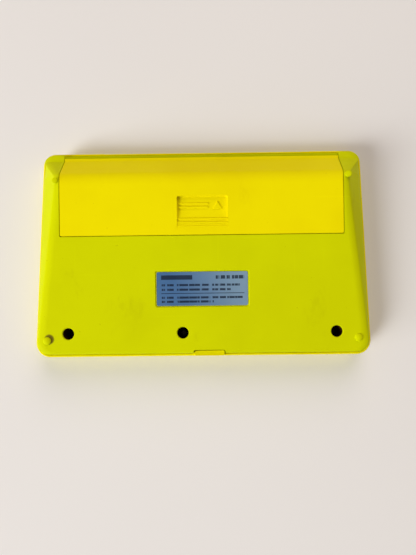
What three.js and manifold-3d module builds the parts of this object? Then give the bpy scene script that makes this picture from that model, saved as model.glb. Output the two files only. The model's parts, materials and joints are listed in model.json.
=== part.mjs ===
// Handheld LCD game, lying on its face with the battery side up.
// Millimetres. +Z points out of the back, +Y points to the battery end, +X to the right.
// The origin is the middle of the footprint, on the surface that the front rim rests on.
// The rear case is a wedge: a thin lower edge, and a thick end that houses two AA cells.

import * as THREE from 'three';
import { mergeVertices } from 'three/addons/utils/BufferGeometryUtils.js';
import Module from 'manifold-3d';

const wasm = await Module();
wasm.setup();

// ---- Driving dimensions ----

const CASE_WIDTH = 136;
const CASE_LENGTH = 86.26;
const PARTING = 9.3; // height of the seam between the front and the rear case
const GAP = 0.3; // clearance between pieces that touch on the real object
const OVERLAP = 0.2; // how far joined volumes run into each other
const WALL = 1.8;
const LOWER_CORNER = 6;
const UPPER_CORNER = 5;
const CORNER_STEPS = 4;

// Back panel, measured up from the seam: height at the middle, and rise per millimetre of y.
const PANEL_MID = 9.9;
const PANEL_RISE = 0.1311;
const PANEL_TILT = Math.atan(PANEL_RISE);

// Rear case.
const GROOVE = 0.4; // open seam between the front rim and the rear case
const RIM = 0.7; // front rim that shows round the rear case
const REAR_HALF_WIDTH = CASE_WIDTH / 2 - RIM - GROOVE;
const REAR_HALF_LENGTH = CASE_LENGTH / 2 - RIM - GROOVE;
const REAR_BASE = -1; // the rear case starts this far below the seam
const FLANK_START = 3.2; // the side walls lean in above this height
const FLANK_LEAN = 0.85; // run in, per millimetre of height
const FLANK_DRAFT = 0.05; // the same, below that height
const FLANK_BLEND = 1.2;
const END_DRAFT = 0.12; // how far the two end walls lean in from foot to top
const ROLL_RADIUS = 7.5; // the panel rolls off to a crease at the top of each side wall
const ROLL_ANGLE = THREE.MathUtils.degToRad(27);
const ROLL_DROP = ROLL_RADIUS * (1 - Math.cos(ROLL_ANGLE));
const END_ROLL_RUN = 0.9; // run of the same rounding at the two ends
const LEAST_WALL = 0.6;
const LEAST_CORNER = 1.5;
const SLOPE_TOP_Y = 27.94; // the panel breaks down towards the battery end here
const SLOPE_RADIUS = 7.3;
const FOOT_LINE_HEIGHT = 3.6; // a flatter lip starts at this height at the foot of the slope
const FOOT_LINE_FALL = 0.3;
const FOOT_LINE_Y = SLOPE_TOP_Y + PANEL_MID + PANEL_RISE * SLOPE_TOP_Y - FOOT_LINE_HEIGHT;
const FOOT_LINE_RADIUS = 2.9;
const STRIP_HEIGHT = 0.4; // strip of the case beyond the foot of the battery cover, above the seam

// Battery cover: straight sides on the panel, flaring down the slope.
const COVER_HALF_WIDTH = 56.05;
const COVER_END_HALF_WIDTH = 57.8;
const COVER_FRONT_Y = 4.5;
const COVER_END_Y = 39.65;
const COVER_FLARE_Y = 26;
const COVER_THICK = 2.1;
const DECK_DROP = COVER_THICK + GAP;
const DECK_THICK = 1.5;
const TONGUE_X = 36;
const TONGUE_WIDTH = 12;
const TONGUE_REACH = 2.6; // how far the tongues run in under the case, ahead of the cover
const TONGUE_ROOT = 4; // how far they run back inside the cover's own thickness
const TONGUE_TOP = -1.2; // measured from the panel
const TONGUE_THICK = 0.8;
const TONGUE_POCKET_Y = 0.5;
const TONGUE_POCKET_BOTTOM = -4.5;

// Thumb recess in the cover.
const RECESS_X = 0.4;
const RECESS_WIDTH = 20.1;
const RECESS_TOP_Y = 19.8;
const RECESS_FOOT_Y = 6.7;
const RECESS_DEPTH = 1.3;
const RECESS_DEEP_RUN = 5.5; // length of its level floor; the rest ramps up to the foot
const GRIP_RIB_Y = [10.75, 9.25, 7.75];
const GRIP_RIB_WIDTH = 0.6;
const MARK_HEIGHT = 0.4;
const ARROW_X = 6.4;
const ARROW_Y = [14.7, 17.6];
const ARROW_WIDTH = 3.6;

// Rating label in a shallow pocket.
const LABEL_WIDTH = 36;
const LABEL_LENGTH = 13.35;
const LABEL_Y = -16.68;
const LABEL_POCKET = 0.45;
const LABEL_THICK = 0.12;
const LABEL_SEAT = -LABEL_POCKET + 0.12;

// Case screws at the bottom of deep round wells.
const SCREW_X = [-53.2, -7.8, 52.9];
const SCREW_NAMES = ['left', 'middle', 'right'];
const SCREW_Y = -33.85;
const WELL_RADIUS = 2.28;
const WELL_FLOOR = 7;
const WELL_BOTTOM = 5.6;
const WELL_TOP = 13.7; // the wells merge with the roof below this height
const WELL_WALL = 1.2;
const SHANK_RADIUS = 1;
const SCREW_POST_RADIUS = 3;

// Small feet moulded on the back; the two at the battery end are low.
const FOOT_ROOT = 1.4;
const FEET = [
  { x: -61.5, y: -36.5, radius: 1.6, height: 0.8 },
  { x: 61.4, y: -36.4, radius: 1.6, height: 0.8 },
  { x: -57.9, y: 26.4, radius: 1.1, height: 0.12 },
  { x: 58.2, y: 27.6, radius: 1.2, height: 0.15 },
];

// Snap notch in the lower edge.
const NOTCH_X = 2.6;
const NOTCH_WIDTH = 12.75;
const NOTCH_Y = -40.7;
const NOTCH_LENGTH = 6;
const NOTCH_CORNER = 0.9;
const TAB_HEIGHT = 1.9;
const TAB_THICK = 2;
const TAB_INSET = 0.1;

// Front case and its face.
const FACE_RECESS = 1.6;
const FACE_WALL = 1.4;
const FACE_INSIDE = FACE_RECESS + FACE_WALL;
const FACE_RIM = 3;
const LEDGE_DROP = 1.3;
const POST_ROOT = 0.5; // how far posts run down into the face wall
const PILOT_FLOOR = FACE_INSIDE + 0.4;
const RELIEF_X = 2.2; // shallow relief along the battery end of the rim
const RELIEF_WIDTH = 88.4;
const RELIEF_DEPTH = 0.22;
const PLATE_BOTTOM = 0.9;
const PLATE_THICK = 0.4;

// Battery bay with two AA cells end to end.
const CELL_RADIUS = 7.1;
const CELL_LENGTH = 50.5;
const CELL_NUB_RADIUS = 2.75;
const CELL_NUB = 1.2;
const CELL_Y = 15.2;
const CELL_Z = 11.65;
const BAY_HALF_WIDTH = 54.5;
const BAY_HALF_LENGTH = 7.6;
const BAY_FLOOR = 4.3;
const BAY_WALL = 1.2;
const BAY_BOTTOM = 3.4;
const BAY_TOP = 17.3;
const CONTACT_THICK = 0.4;
const TAIL_Z = 12;
const TAIL_WIDTH = 1.6;
const TAIL_REACH = 1;

// Display stack and circuit board.
const LCD_Y = -13;
const LCD_WIDTH = 60;
const LCD_LENGTH = 29;
const WINDOW_WIDTH = 54;
const WINDOW_LENGTH = 24;
const WINDOW_THICK = 0.8;
const WINDOW_BOTTOM = FACE_INSIDE + GAP;
const LCD_BOTTOM = WINDOW_BOTTOM + WINDOW_THICK + GAP;
const LCD_THICK = 1.8;
const REFLECTOR_BOTTOM = LCD_BOTTOM + LCD_THICK + GAP;
const REFLECTOR_THICK = 0.2;
const BOARD_BOTTOM = 9;
const BOARD_THICK = 1.2;
const BOARD_TOP = BOARD_BOTTOM + BOARD_THICK;
const BOARD_HALF_WIDTH = 62;
const BOARD_Y = [-29.5, 4.5];
const FRAME_WALL = 1.5;
const POST_X = 36;
const POST_Y = [-27, 1];
const POST_RADIUS = 2.2;
const PILOT_RADIUS = 1.3;
const BUZZER_X = 44;
const BUZZER_Y = -14;
const BUZZER_RADIUS = 10;
const CERAMIC_RADIUS = 7.4;

// Buttons, pressed towards the board. Round ones have a radius, keys have a width and a length.
const BUTTON_FACE = 0.5;
const BUTTON_FLANGE = 1;
const BUTTON_FLANGE_THICK = 0.8;
const BUTTON_STEM = 0.7;
const BUTTONS = [
  { name: 'left_button', x: -57, y: -17, radius: 4.6 },
  { name: 'right_button', x: -43.5, y: -17, radius: 4.6 },
  { name: 'action_button', x: 50.2, y: -17, radius: 6 },
];
const KEYS = [
  { name: 'game_a_key', x: 41.5, y: -1 },
  { name: 'game_b_key', x: 50.2, y: -1 },
  { name: 'sound_key', x: 58.9, y: -1 },
];
const KEY_WIDTH = 5;
const KEY_LENGTH = 3;
const MAT_BOTTOM = 7.7;
const MAT_THICK = 1;
const MAT_NUB = 1.8;

// ---- Materials ----

function material(color, roughness, metalness) {
  return new THREE.MeshStandardMaterial({ color, roughness, metalness });
}

const lemonPlastic = () => material(0xd4d301, 0.42, 0);
const coverPlastic = () => material(0xedd801, 0.42, 0);
const frontPlastic = () => material(0xe6c005, 0.42, 0);
const blackPlastic = () => material(0x15151a, 0.5, 0);
const greyRubber = () => material(0x6b6d70, 0.85, 0);
const conductiveRubber = () => material(0x2a2b2d, 0.8, 0);
const clearAcrylic = () => material(0xdfe6e6, 0.08, 0);
const displayGlass = () => material(0x9aa68c, 0.15, 0);
const silverFoil = () => material(0xc4c9cf, 0.35, 0.8);
const boardLaminate = () => material(0x8a6a2c, 0.6, 0);
const epoxy = () => material(0x101012, 0.4, 0);
const steel = () => material(0x8d9094, 0.35, 1);
const darkSteel = () => material(0x3a3a3c, 0.4, 1);
const brass = () => material(0xb08d3c, 0.35, 1);
const cellSleeve = () => material(0x2f5fa8, 0.4, 0.2);
const platePrint = () => material(0x23355f, 0.35, 0.3);
const redSleeve = () => material(0xb3211f, 0.5, 0);
const blackSleeve = () => material(0x1b1b1d, 0.5, 0);
const redPlastic = () => material(0xc93a22, 0.35, 0);

// ---- Solid helpers ----

function toSolid(geometry) {
  const bare = geometry.index ? geometry.toNonIndexed() : geometry.clone();
  bare.deleteAttribute('normal');
  bare.deleteAttribute('uv');
  const merged = mergeVertices(bare, 1e-4);
  return new wasm.Manifold(new wasm.Mesh({
    numProp: 3,
    vertProperties: new Float32Array(merged.attributes.position.array),
    triVerts: new Uint32Array(merged.index.array),
  }));
}

function toGeometry(solid) {
  const mesh = solid.getMesh();
  const geometry = new THREE.BufferGeometry();
  geometry.setAttribute('position', new THREE.BufferAttribute(new Float32Array(mesh.vertProperties), 3));
  geometry.setIndex(new THREE.BufferAttribute(new Uint32Array(mesh.triVerts), 1));
  const flat = geometry.toNonIndexed();
  flat.computeVertexNormals();
  return flat;
}

function joinAll(first, others) {
  return others.reduce((sum, geometry) => sum.add(toSolid(geometry)), first);
}

function cutAll(first, others) {
  return others.reduce((rest, geometry) => rest.subtract(toSolid(geometry)), first);
}

function cornerArc(points, centreX, centreY, radius, startAngle, steps) {
  for (let step = 0; step <= steps; step += 1) {
    const angle = startAngle + (step / steps) * (Math.PI / 2);
    points.push(new THREE.Vector2(centreX + radius * Math.cos(angle), centreY + radius * Math.sin(angle)));
  }
}

// Outline with its own radius for the lower and for the upper corners, anticlockwise.
function roundedOutline(halfWidth, halfLength, lowerRadius, upperRadius, steps = CORNER_STEPS) {
  const points = [];
  cornerArc(points, halfWidth - upperRadius, halfLength - upperRadius, upperRadius, 0, steps);
  cornerArc(points, upperRadius - halfWidth, halfLength - upperRadius, upperRadius, Math.PI / 2, steps);
  cornerArc(points, lowerRadius - halfWidth, lowerRadius - halfLength, lowerRadius, Math.PI, steps);
  cornerArc(points, halfWidth - lowerRadius, lowerRadius - halfLength, lowerRadius, 1.5 * Math.PI, steps);
  return points;
}

function rectangle(width, length, x = 0, y = 0, radius = 0, steps = 3) {
  const corner = Math.max(radius, 0);
  if (corner === 0) {
    return [[-1, -1], [1, -1], [1, 1], [-1, 1]].map(
      ([sx, sy]) => new THREE.Vector2(x + (sx * width) / 2, y + (sy * length) / 2),
    );
  }
  const outline = roundedOutline(width / 2, length / 2, corner, corner, steps);
  return outline.map((point) => new THREE.Vector2(point.x + x, point.y + y));
}

function circle(radius, x = 0, y = 0, sides = 16) {
  const points = [];
  for (let side = 0; side < sides; side += 1) {
    const angle = (2 * Math.PI * side) / sides;
    points.push(new THREE.Vector2(x + radius * Math.cos(angle), y + radius * Math.sin(angle)));
  }
  return points;
}

function prism(outline, bottom, top, holes = []) {
  const shape = new THREE.Shape(outline);
  holes.forEach((hole) => shape.holes.push(new THREE.Path(hole)));
  const geometry = new THREE.ExtrudeGeometry(shape, { depth: top - bottom, bevelEnabled: false });
  return geometry.translate(0, 0, bottom);
}

// Closed solid from rings of matching points, the first ring lowest.
function stackRings(rings) {
  const count = rings[0].length;
  const positions = rings.flat().flatMap((point) => [point.x, point.y, point.z]);
  const index = [];
  for (let ring = 0; ring + 1 < rings.length; ring += 1) {
    for (let step = 0; step < count; step += 1) {
      const next = (step + 1) % count;
      const a = ring * count + step;
      const b = ring * count + next;
      index.push(a, b, b + count, a, b + count, a + count);
    }
  }
  const lid = (rings.length - 1) * count;
  const half = count / 2;
  // The ring is a mirror image about x = 0, so each cap is a strip of rungs from right to left.
  for (let step = 0; step + 1 < half; step += 1) {
    const mirror = count - 1 - step;
    index.push(lid + step, lid + step + 1, lid + mirror - 1);
    index.push(lid + step, lid + mirror - 1, lid + mirror);
    index.push(step, mirror - 1, step + 1);
    index.push(step, mirror, mirror - 1);
  }
  const geometry = new THREE.BufferGeometry();
  geometry.setAttribute('position', new THREE.BufferAttribute(new Float32Array(positions), 3));
  geometry.setIndex(index);
  return geometry;
}

function lathe(profile, sides = 20) {
  const points = profile.map(([r, z]) => new THREE.Vector2(r, z));
  return new THREE.LatheGeometry(points, sides).rotateX(Math.PI / 2);
}

function tube(points, radius, sides = 6, steps = 10) {
  const path = new THREE.CatmullRomCurve3(points);
  const shape = new THREE.Shape(circle(radius, 0, 0, sides));
  return new THREE.ExtrudeGeometry(shape, { extrudePath: path, steps, bevelEnabled: false });
}

// ---- The wedge form ----

function panelHeight(y) {
  return PANEL_MID + PANEL_RISE * y;
}

// Points of a bend between two straight lines through the middle point, as an arc.
function bend(before, corner, after, radius, steps) {
  const towards = before.clone().sub(corner).normalize();
  const away = after.clone().sub(corner).normalize();
  const halfAngle = Math.acos(towards.dot(away)) / 2;
  const run = radius / Math.tan(halfAngle);
  const inward = towards.clone().add(away).normalize();
  const centre = corner.clone().addScaledVector(inward, radius / Math.sin(halfAngle));
  const start = corner.clone().addScaledVector(towards, run).sub(centre);
  const end = corner.clone().addScaledVector(away, run).sub(centre);
  const sweep = Math.atan2(start.x * end.y - start.y * end.x, start.dot(end));
  const points = [];
  for (let step = 0; step <= steps; step += 1) {
    points.push(start.clone().rotateAround(new THREE.Vector2(), (sweep * step) / steps).add(centre));
  }
  return points;
}

// Side view of the roof: panel, rounded break, slope, hollow foot and a flatter lip.
const ROOF_LINE = (() => {
  const start = new THREE.Vector2(-60, panelHeight(-60));
  const crest = new THREE.Vector2(SLOPE_TOP_Y, panelHeight(SLOPE_TOP_Y));
  const foot = new THREE.Vector2(FOOT_LINE_Y, FOOT_LINE_HEIGHT);
  const end = new THREE.Vector2(60, FOOT_LINE_HEIGHT - FOOT_LINE_FALL * (60 - FOOT_LINE_Y));
  return [
    start,
    ...bend(start, crest, foot, SLOPE_RADIUS, 5),
    ...bend(crest, foot, end, FOOT_LINE_RADIUS, 3),
    end,
  ];
})();

function roofHeight(y) {
  const next = ROOF_LINE.findIndex((point) => point.x >= y);
  const a = ROOF_LINE[next - 1];
  const b = ROOF_LINE[next];
  return THREE.MathUtils.mapLinear(y, a.x, b.x, a.y, b.y);
}

// Half width of the side walls at a height above the seam.
function flankHalfWidth(height) {
  const over = height - FLANK_START;
  const leaned = (over + Math.hypot(over, FLANK_BLEND)) / 2;
  return REAR_HALF_WIDTH - FLANK_DRAFT * height - FLANK_LEAN * leaned;
}

// Levels of the wall between the seam and the roof: shares of the wall height, then of the rounded edge.
const WALL_LEVELS = [0, 0.35, 0.6, 0.8, 1];
const EDGE_LEVELS = [0.35, 0.7, 1];

// The outer form of the rear case, moved in by inset all round and with its roof down by drop.
function wedgeForm(inset, drop, base) {
  const stationsY = ROOF_LINE.slice(1, -1).map((point) => point.x).filter((y) => y < 36);
  const sideY = [-30, -10, 10, ...stationsY];
  const levels = [
    ...WALL_LEVELS.map((share) => ({ share, edge: 0 })),
    ...EDGE_LEVELS.map((edge) => ({ share: 1, edge })),
  ];
  const rings = levels.map(({ share, edge }) => {
    const tilt = ROLL_ANGLE * (1 - edge);
    const rollRun = ROLL_RADIUS * (Math.sin(ROLL_ANGLE) - Math.sin(tilt));
    const rollRise = ROLL_RADIUS * (Math.cos(tilt) - Math.cos(ROLL_ANGLE));
    const endInset = inset + END_DRAFT * share + END_ROLL_RUN * edge * edge;
    const halfLength = REAR_HALF_LENGTH - endInset;
    const lower = Math.max(LOWER_CORNER - RIM - GROOVE - endInset, LEAST_CORNER);
    const upper = Math.max(UPPER_CORNER - RIM - GROOVE - endInset, LEAST_CORNER);
    const ring = [];
    const place = (y, cornerShift) => {
      const roof = roofHeight(y) - drop;
      const wallTop = Math.max(roof - ROLL_DROP, base + LEAST_WALL);
      const wallHeight = base + (wallTop - base) * share;
      const halfWidth = flankHalfWidth(Math.max(wallHeight + drop, 0)) - inset - rollRun - cornerShift;
      ring.push(new THREE.Vector3(halfWidth, y, wallHeight + rollRise));
    };
    for (let step = 0; step <= CORNER_STEPS; step += 1) {
      const angle = (-Math.PI / 2) * (1 - step / CORNER_STEPS);
      place(-halfLength + lower + lower * Math.sin(angle), lower * (1 - Math.cos(angle)));
    }
    sideY.forEach((y) => place(y, 0));
    for (let step = 0; step <= CORNER_STEPS; step += 1) {
      const angle = (Math.PI / 2) * (step / CORNER_STEPS);
      place(halfLength - upper + upper * Math.sin(angle), upper * (1 - Math.cos(angle)));
    }
    const mirrored = ring.map((point) => new THREE.Vector3(-point.x, point.y, point.z)).reverse();
    return [...ring, ...mirrored];
  });
  return stackRings(rings).translate(0, 0, PARTING);
}

// Outline of the battery cover seen from above, grown by a margin; it flares down the slope.
function coverOutline(margin, endY) {
  const front = COVER_FRONT_Y - margin;
  const flareRate = (COVER_END_HALF_WIDTH - COVER_HALF_WIDTH) / (COVER_END_Y - COVER_FLARE_Y);
  const endHalf = COVER_HALF_WIDTH + flareRate * (endY - COVER_FLARE_Y) + margin;
  const half = COVER_HALF_WIDTH + margin;
  return [[-half, front], [half, front], [half, COVER_FLARE_Y], [endHalf, endY], [-endHalf, endY],
    [-half, COVER_FLARE_Y]].map(([x, y]) => new THREE.Vector2(x, y));
}

// Moves a geometry drawn about its own origin onto the back panel at x, y, lying along the panel.
function onPanel(geometry, x, y, rise = 0) {
  return geometry.rotateX(PANEL_TILT).translate(x, y, PARTING + panelHeight(y) + rise);
}

// ---- Rear case ----

function footNub({ radius, height }) {
  return lathe([[0, -FOOT_ROOT], [radius, -FOOT_ROOT], [radius, 0.3 * height],
    [radius * 0.8, 0.75 * height], [radius * 0.4, 0.96 * height], [0, height]], 14);
}

// Block below the roof or the deck that a tongue of the cover slides into.
function tonguePocket(x, toY, top) {
  const length = toY - TONGUE_POCKET_Y;
  const block = prism(rectangle(TONGUE_WIDTH + 4, length), TONGUE_POCKET_BOTTOM, top);
  return onPanel(block, x, (TONGUE_POCKET_Y + toY) / 2);
}

function rearCase() {
  const top = PARTING + 30;
  const bottom = PARTING + REAR_BASE;
  const region = (margin, low = bottom - 3) => toSolid(prism(coverOutline(margin, CASE_LENGTH), low, top));
  const outer = toSolid(wedgeForm(0, 0, REAR_BASE));
  const deck = toSolid(wedgeForm(0, 0, REAR_BASE).translate(0, 0, -DECK_DROP));
  const inner = toSolid(wedgeForm(WALL, WALL, REAR_BASE - 1.5));
  const lowRoof = WALL - DECK_DROP - DECK_THICK;
  const lowInner = toSolid(wedgeForm(WALL, WALL, REAR_BASE - 1).translate(0, 0, lowRoof));
  // Pieces that meet overlap by a little, so that no faces coincide.
  const lowCavity = lowInner.intersect(region(GAP + DECK_THICK + OVERLAP));
  const cavity = inner.subtract(region(GAP + DECK_THICK)).add(lowCavity);
  let body = outer.subtract(region(GAP, PARTING + STRIP_HEIGHT));
  body = body.add(deck.intersect(region(GAP + OVERLAP, bottom))).subtract(cavity);

  const bayBox = prism(
    rectangle(2 * (BAY_HALF_WIDTH + BAY_WALL), 2 * (BAY_HALF_LENGTH + BAY_WALL), 0, CELL_Y),
    BAY_BOTTOM,
    BAY_TOP,
  );
  const wells = SCREW_X.map((x) => prism(circle(WELL_RADIUS + WELL_WALL, x, SCREW_Y), WELL_BOTTOM, WELL_TOP));
  const tonguePockets = [-TONGUE_X, TONGUE_X].flatMap((x) => [
    tonguePocket(x, COVER_FRONT_Y - GAP, -WALL + 2 * OVERLAP),
    tonguePocket(x, COVER_FRONT_Y + 3, -DECK_DROP - 0.05),
  ]);
  const nubs = FEET.map((foot) => onPanel(footNub(foot), foot.x, foot.y));
  body = joinAll(body, [bayBox, ...wells, ...tonguePockets, ...nubs]);

  const bayHollow = prism(rectangle(2 * BAY_HALF_WIDTH, 2 * BAY_HALF_LENGTH, 0, CELL_Y), BAY_FLOOR, top);
  const tailSlots = [-1, 1].map((side) => new THREE.BoxGeometry(1.4, 4, TAIL_WIDTH + 1)
    .translate(side * (BAY_HALF_WIDTH - GAP - CONTACT_THICK / 2), CELL_Y - BAY_HALF_LENGTH - 1, TAIL_Z));
  const wellHoles = SCREW_X.map((x) => prism(circle(WELL_RADIUS, x, SCREW_Y, 24), WELL_FLOOR, top));
  const shankHoles = SCREW_X.map((x) => prism(circle(PILOT_RADIUS, x, SCREW_Y, 12), WELL_BOTTOM - 1, top));
  const labelPocket = onPanel(
    prism(rectangle(LABEL_WIDTH + 0.6, LABEL_LENGTH + 0.6), -LABEL_POCKET, 3),
    0,
    LABEL_Y,
  );
  const slotY = (TONGUE_ROOT - TONGUE_REACH) / 2;
  const tongueSlots = [-TONGUE_X, TONGUE_X].map((x) => onPanel(
    prism(
      rectangle(TONGUE_WIDTH + 1, TONGUE_REACH + TONGUE_ROOT, 0, slotY),
      TONGUE_TOP - TONGUE_THICK - GAP,
      TONGUE_TOP + GAP,
    ),
    x,
    COVER_FRONT_Y - GAP,
  ));
  const notch = prism(
    rectangle(NOTCH_WIDTH, NOTCH_LENGTH, NOTCH_X, NOTCH_Y - NOTCH_LENGTH / 2, NOTCH_CORNER),
    bottom - 1,
    top,
  );
  const holes = [...wellHoles, ...shankHoles, ...tailSlots, ...tongueSlots];
  body = cutAll(body, [bayHollow, labelPocket, notch, ...holes]);
  return toGeometry(body);
}

// ---- Battery cover ----

function recessCutter() {
  // Side view of the thumb recess: deep below its top wall, running out to nothing at its foot.
  const length = RECESS_TOP_Y - RECESS_FOOT_Y;
  const ramp = length - RECESS_DEEP_RUN;
  const side = [[0, 0.4], [0, 0], [ramp, -RECESS_DEPTH], [length, -RECESS_DEPTH], [length, 0.4]];
  const shape = new THREE.Shape(side.map(([y, z]) => new THREE.Vector2(y, z)));
  const geometry = new THREE.ExtrudeGeometry(shape, { depth: RECESS_WIDTH, bevelEnabled: false });
  geometry.rotateX(Math.PI / 2).rotateZ(Math.PI / 2);
  return onPanel(geometry.translate(-RECESS_WIDTH / 2, 0, 0), RECESS_X, RECESS_FOOT_Y);
}

function gripRibs() {
  const slope = RECESS_DEPTH / (RECESS_TOP_Y - RECESS_FOOT_Y - RECESS_DEEP_RUN);
  return GRIP_RIB_Y.map((y) => {
    const floor = -slope * (y - RECESS_FOOT_Y);
    const crest = Math.min(floor + MARK_HEIGHT, 0);
    return onPanel(prism(rectangle(RECESS_WIDTH - 0.2, GRIP_RIB_WIDTH), floor - 0.4, crest), RECESS_X, y);
  });
}

function arrowMark() {
  const height = ARROW_Y[1] - ARROW_Y[0];
  const outline = [[-ARROW_WIDTH / 2, 0], [ARROW_WIDTH / 2, 0], [0, height]]
    .map(([x, y]) => new THREE.Vector2(x, y));
  return onPanel(prism(outline, -RECESS_DEPTH - 0.4, -RECESS_DEPTH + MARK_HEIGHT), ARROW_X, ARROW_Y[0]);
}

function batteryCover() {
  const top = PARTING + 30;
  const outline = toSolid(prism(coverOutline(0, COVER_END_Y), PARTING - 3, top));
  const outer = toSolid(wedgeForm(0, 0, REAR_BASE));
  const under = toSolid(wedgeForm(0, 0, REAR_BASE).translate(0, 0, -COVER_THICK));
  let body = outer.subtract(under).intersect(outline);
  const tongues = [-TONGUE_X, TONGUE_X].map((x) => onPanel(
    prism(
      rectangle(TONGUE_WIDTH, TONGUE_REACH + TONGUE_ROOT, 0, (TONGUE_ROOT - TONGUE_REACH) / 2),
      TONGUE_TOP - TONGUE_THICK,
      TONGUE_TOP,
    ),
    x,
    COVER_FRONT_Y,
  ));
  body = joinAll(body, tongues);
  body = cutAll(body, [recessCutter()]);
  body = joinAll(body, [...gripRibs(), arrowMark()]);
  return toGeometry(body);
}

// ---- Front case ----

function buttonOutline(button, margin) {
  if (button.radius) {
    return circle(button.radius + margin, button.x, button.y, 20);
  }
  return rectangle(KEY_WIDTH + 2 * margin, KEY_LENGTH + 2 * margin, button.x, button.y, 1 + margin);
}

function caseRing(inset, z) {
  const outline = roundedOutline(
    CASE_WIDTH / 2 - inset,
    CASE_LENGTH / 2 - inset,
    LOWER_CORNER - inset,
    UPPER_CORNER - inset,
  );
  // Starts at the middle of the lower edge and runs up the right side, for stackRings.
  const half = outline.length / 2;
  const start = half + (CORNER_STEPS + 1);
  const ordered = outline.map((_, step) => outline[(start + step) % outline.length]);
  return ordered.map((point) => new THREE.Vector3(point.x, point.y, z));
}

function frontCase() {
  const rimTop = PARTING;
  const rings = [caseRing(1.2, 0), caseRing(0.35, 0.5), caseRing(0.05, 1.5), caseRing(0, rimTop)];
  const shell = toSolid(stackRings(rings));
  const halfWidth = CASE_WIDTH / 2;
  const halfLength = CASE_LENGTH / 2;
  const inside = roundedOutline(halfWidth - WALL, halfLength - WALL, LOWER_CORNER - WALL, UPPER_CORNER - WALL);
  const cavity = prism(inside, FACE_INSIDE, rimTop + 1);
  const rebate = prism(
    roundedOutline(halfWidth - RIM, halfLength - RIM, LOWER_CORNER - RIM, UPPER_CORNER - RIM),
    rimTop - LEDGE_DROP,
    rimTop + 1,
  );
  const face = prism(roundedOutline(halfWidth - FACE_RIM, halfLength - FACE_RIM, 3, 3), -1, FACE_RECESS);
  const window = prism(rectangle(WINDOW_WIDTH, WINDOW_LENGTH, 0, LCD_Y, 1.5), 0, FACE_INSIDE + 1);
  const holeOutlines = [...BUTTONS, ...KEYS].map((button) => buttonOutline(button, GAP));
  const buttonHoles = holeOutlines.map((outline) => prism(outline, 0, FACE_INSIDE + 1));
  const relief = rectangle(RELIEF_WIDTH, 2, RELIEF_X, halfLength + 1 - RELIEF_DEPTH);
  const topRelief = prism(relief, 2, rimTop + 1);
  let body = cutAll(shell, [cavity, rebate, face, window, ...buttonHoles, topRelief]);

  const root = FACE_INSIDE - POST_ROOT;
  const posts = [-POST_X, POST_X].flatMap((x) => POST_Y.map((y) => [x, y]));
  const screws = SCREW_X.map((x) => [x, SCREW_Y]);
  const screwPosts = screws.map(([x, y]) => prism(circle(SCREW_POST_RADIUS, x, y), root, WELL_BOTTOM - GAP));
  const boardPosts = posts.map(([x, y]) => prism(circle(POST_RADIUS, x, y, 16), root, BOARD_BOTTOM - GAP));
  const tab = prism(
    rectangle(NOTCH_WIDTH - 2 * GAP, TAB_THICK, NOTCH_X, TAB_INSET + TAB_THICK / 2 - halfLength, 0.5),
    root,
    rimTop + TAB_HEIGHT,
  );
  body = joinAll(body, [...screwPosts, ...boardPosts, tab]);
  const pilotOutlines = [...screws, ...posts].map(([x, y]) => circle(PILOT_RADIUS, x, y, 12));
  body = cutAll(body, pilotOutlines.map((outline) => prism(outline, PILOT_FLOOR, rimTop)));
  return toGeometry(body);
}

function facePlate() {
  const margin = FACE_RIM + GAP;
  const holes = [...BUTTONS, ...KEYS].map((button) => buttonOutline(button, GAP + 0.2));
  holes.push(rectangle(WINDOW_WIDTH - 2, WINDOW_LENGTH - 2, 0, LCD_Y, 1.5));
  const outline = roundedOutline(CASE_WIDTH / 2 - margin, CASE_LENGTH / 2 - margin, 2.7, 2.7);
  return prism(outline, PLATE_BOTTOM, PLATE_BOTTOM + PLATE_THICK, holes);
}

// ---- Display ----

function displayFrame() {
  const width = LCD_WIDTH + 2 * GAP;
  const length = LCD_LENGTH + 2 * GAP;
  const outline = rectangle(width + 2 * FRAME_WALL, length + 2 * FRAME_WALL, 0, LCD_Y, 1);
  return prism(outline, FACE_INSIDE + GAP, BOARD_BOTTOM - GAP, [rectangle(width, length, 0, LCD_Y)]);
}

function zebraStrip(side) {
  const y = LCD_Y + side * (LCD_LENGTH / 2 - 1.4);
  return prism(rectangle(LCD_WIDTH - 4, 2, 0, y), REFLECTOR_BOTTOM, BOARD_BOTTOM - GAP);
}

// ---- Board ----

function mainBoard() {
  const length = BOARD_Y[1] - BOARD_Y[0];
  const outline = rectangle(2 * BOARD_HALF_WIDTH, length, 0, (BOARD_Y[0] + BOARD_Y[1]) / 2, 1.5);
  const holes = [];
  [-POST_X, POST_X].forEach((x) => POST_Y.forEach((y) => holes.push(circle(PILOT_RADIUS, x, y, 12))));
  return prism(outline, BOARD_BOTTOM, BOARD_TOP, holes);
}

function chipBlob() {
  return lathe([[0, 0], [6, 0], [5.6, 0.7], [4, 1.4], [2, 1.75], [0, 1.85]], 24)
    .translate(-14, -12, BOARD_TOP + GAP);
}

function crystalCan() {
  return lathe([[0, 0], [1.4, 0], [1.5, 0.3], [1.5, 7.4], [1.3, 7.8], [0, 7.8]], 16)
    .rotateY(Math.PI / 2)
    .translate(6, -6, BOARD_TOP + GAP + 1.5);
}

function capacitor() {
  const profile = [[0, 0], [1.9, 0], [2, 0.3], [2, 1.1], [1.85, 1.3], [2, 1.5], [2, 6.4], [1.8, 6.7], [0, 6.7]];
  return lathe(profile, 18)
    .rotateY(Math.PI / 2)
    .translate(8, -16, BOARD_TOP + GAP + 2);
}

function resistor() {
  return lathe([[0, 0], [0.9, 0], [1.1, 0.4], [1.1, 1], [0.85, 1.4], [0.85, 4], [1.1, 4.4], [1.1, 5],
    [0.9, 5.4], [0, 5.4]], 14)
    .rotateY(Math.PI / 2)
    .translate(-38, -20, BOARD_TOP + GAP + 1.1);
}

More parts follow.
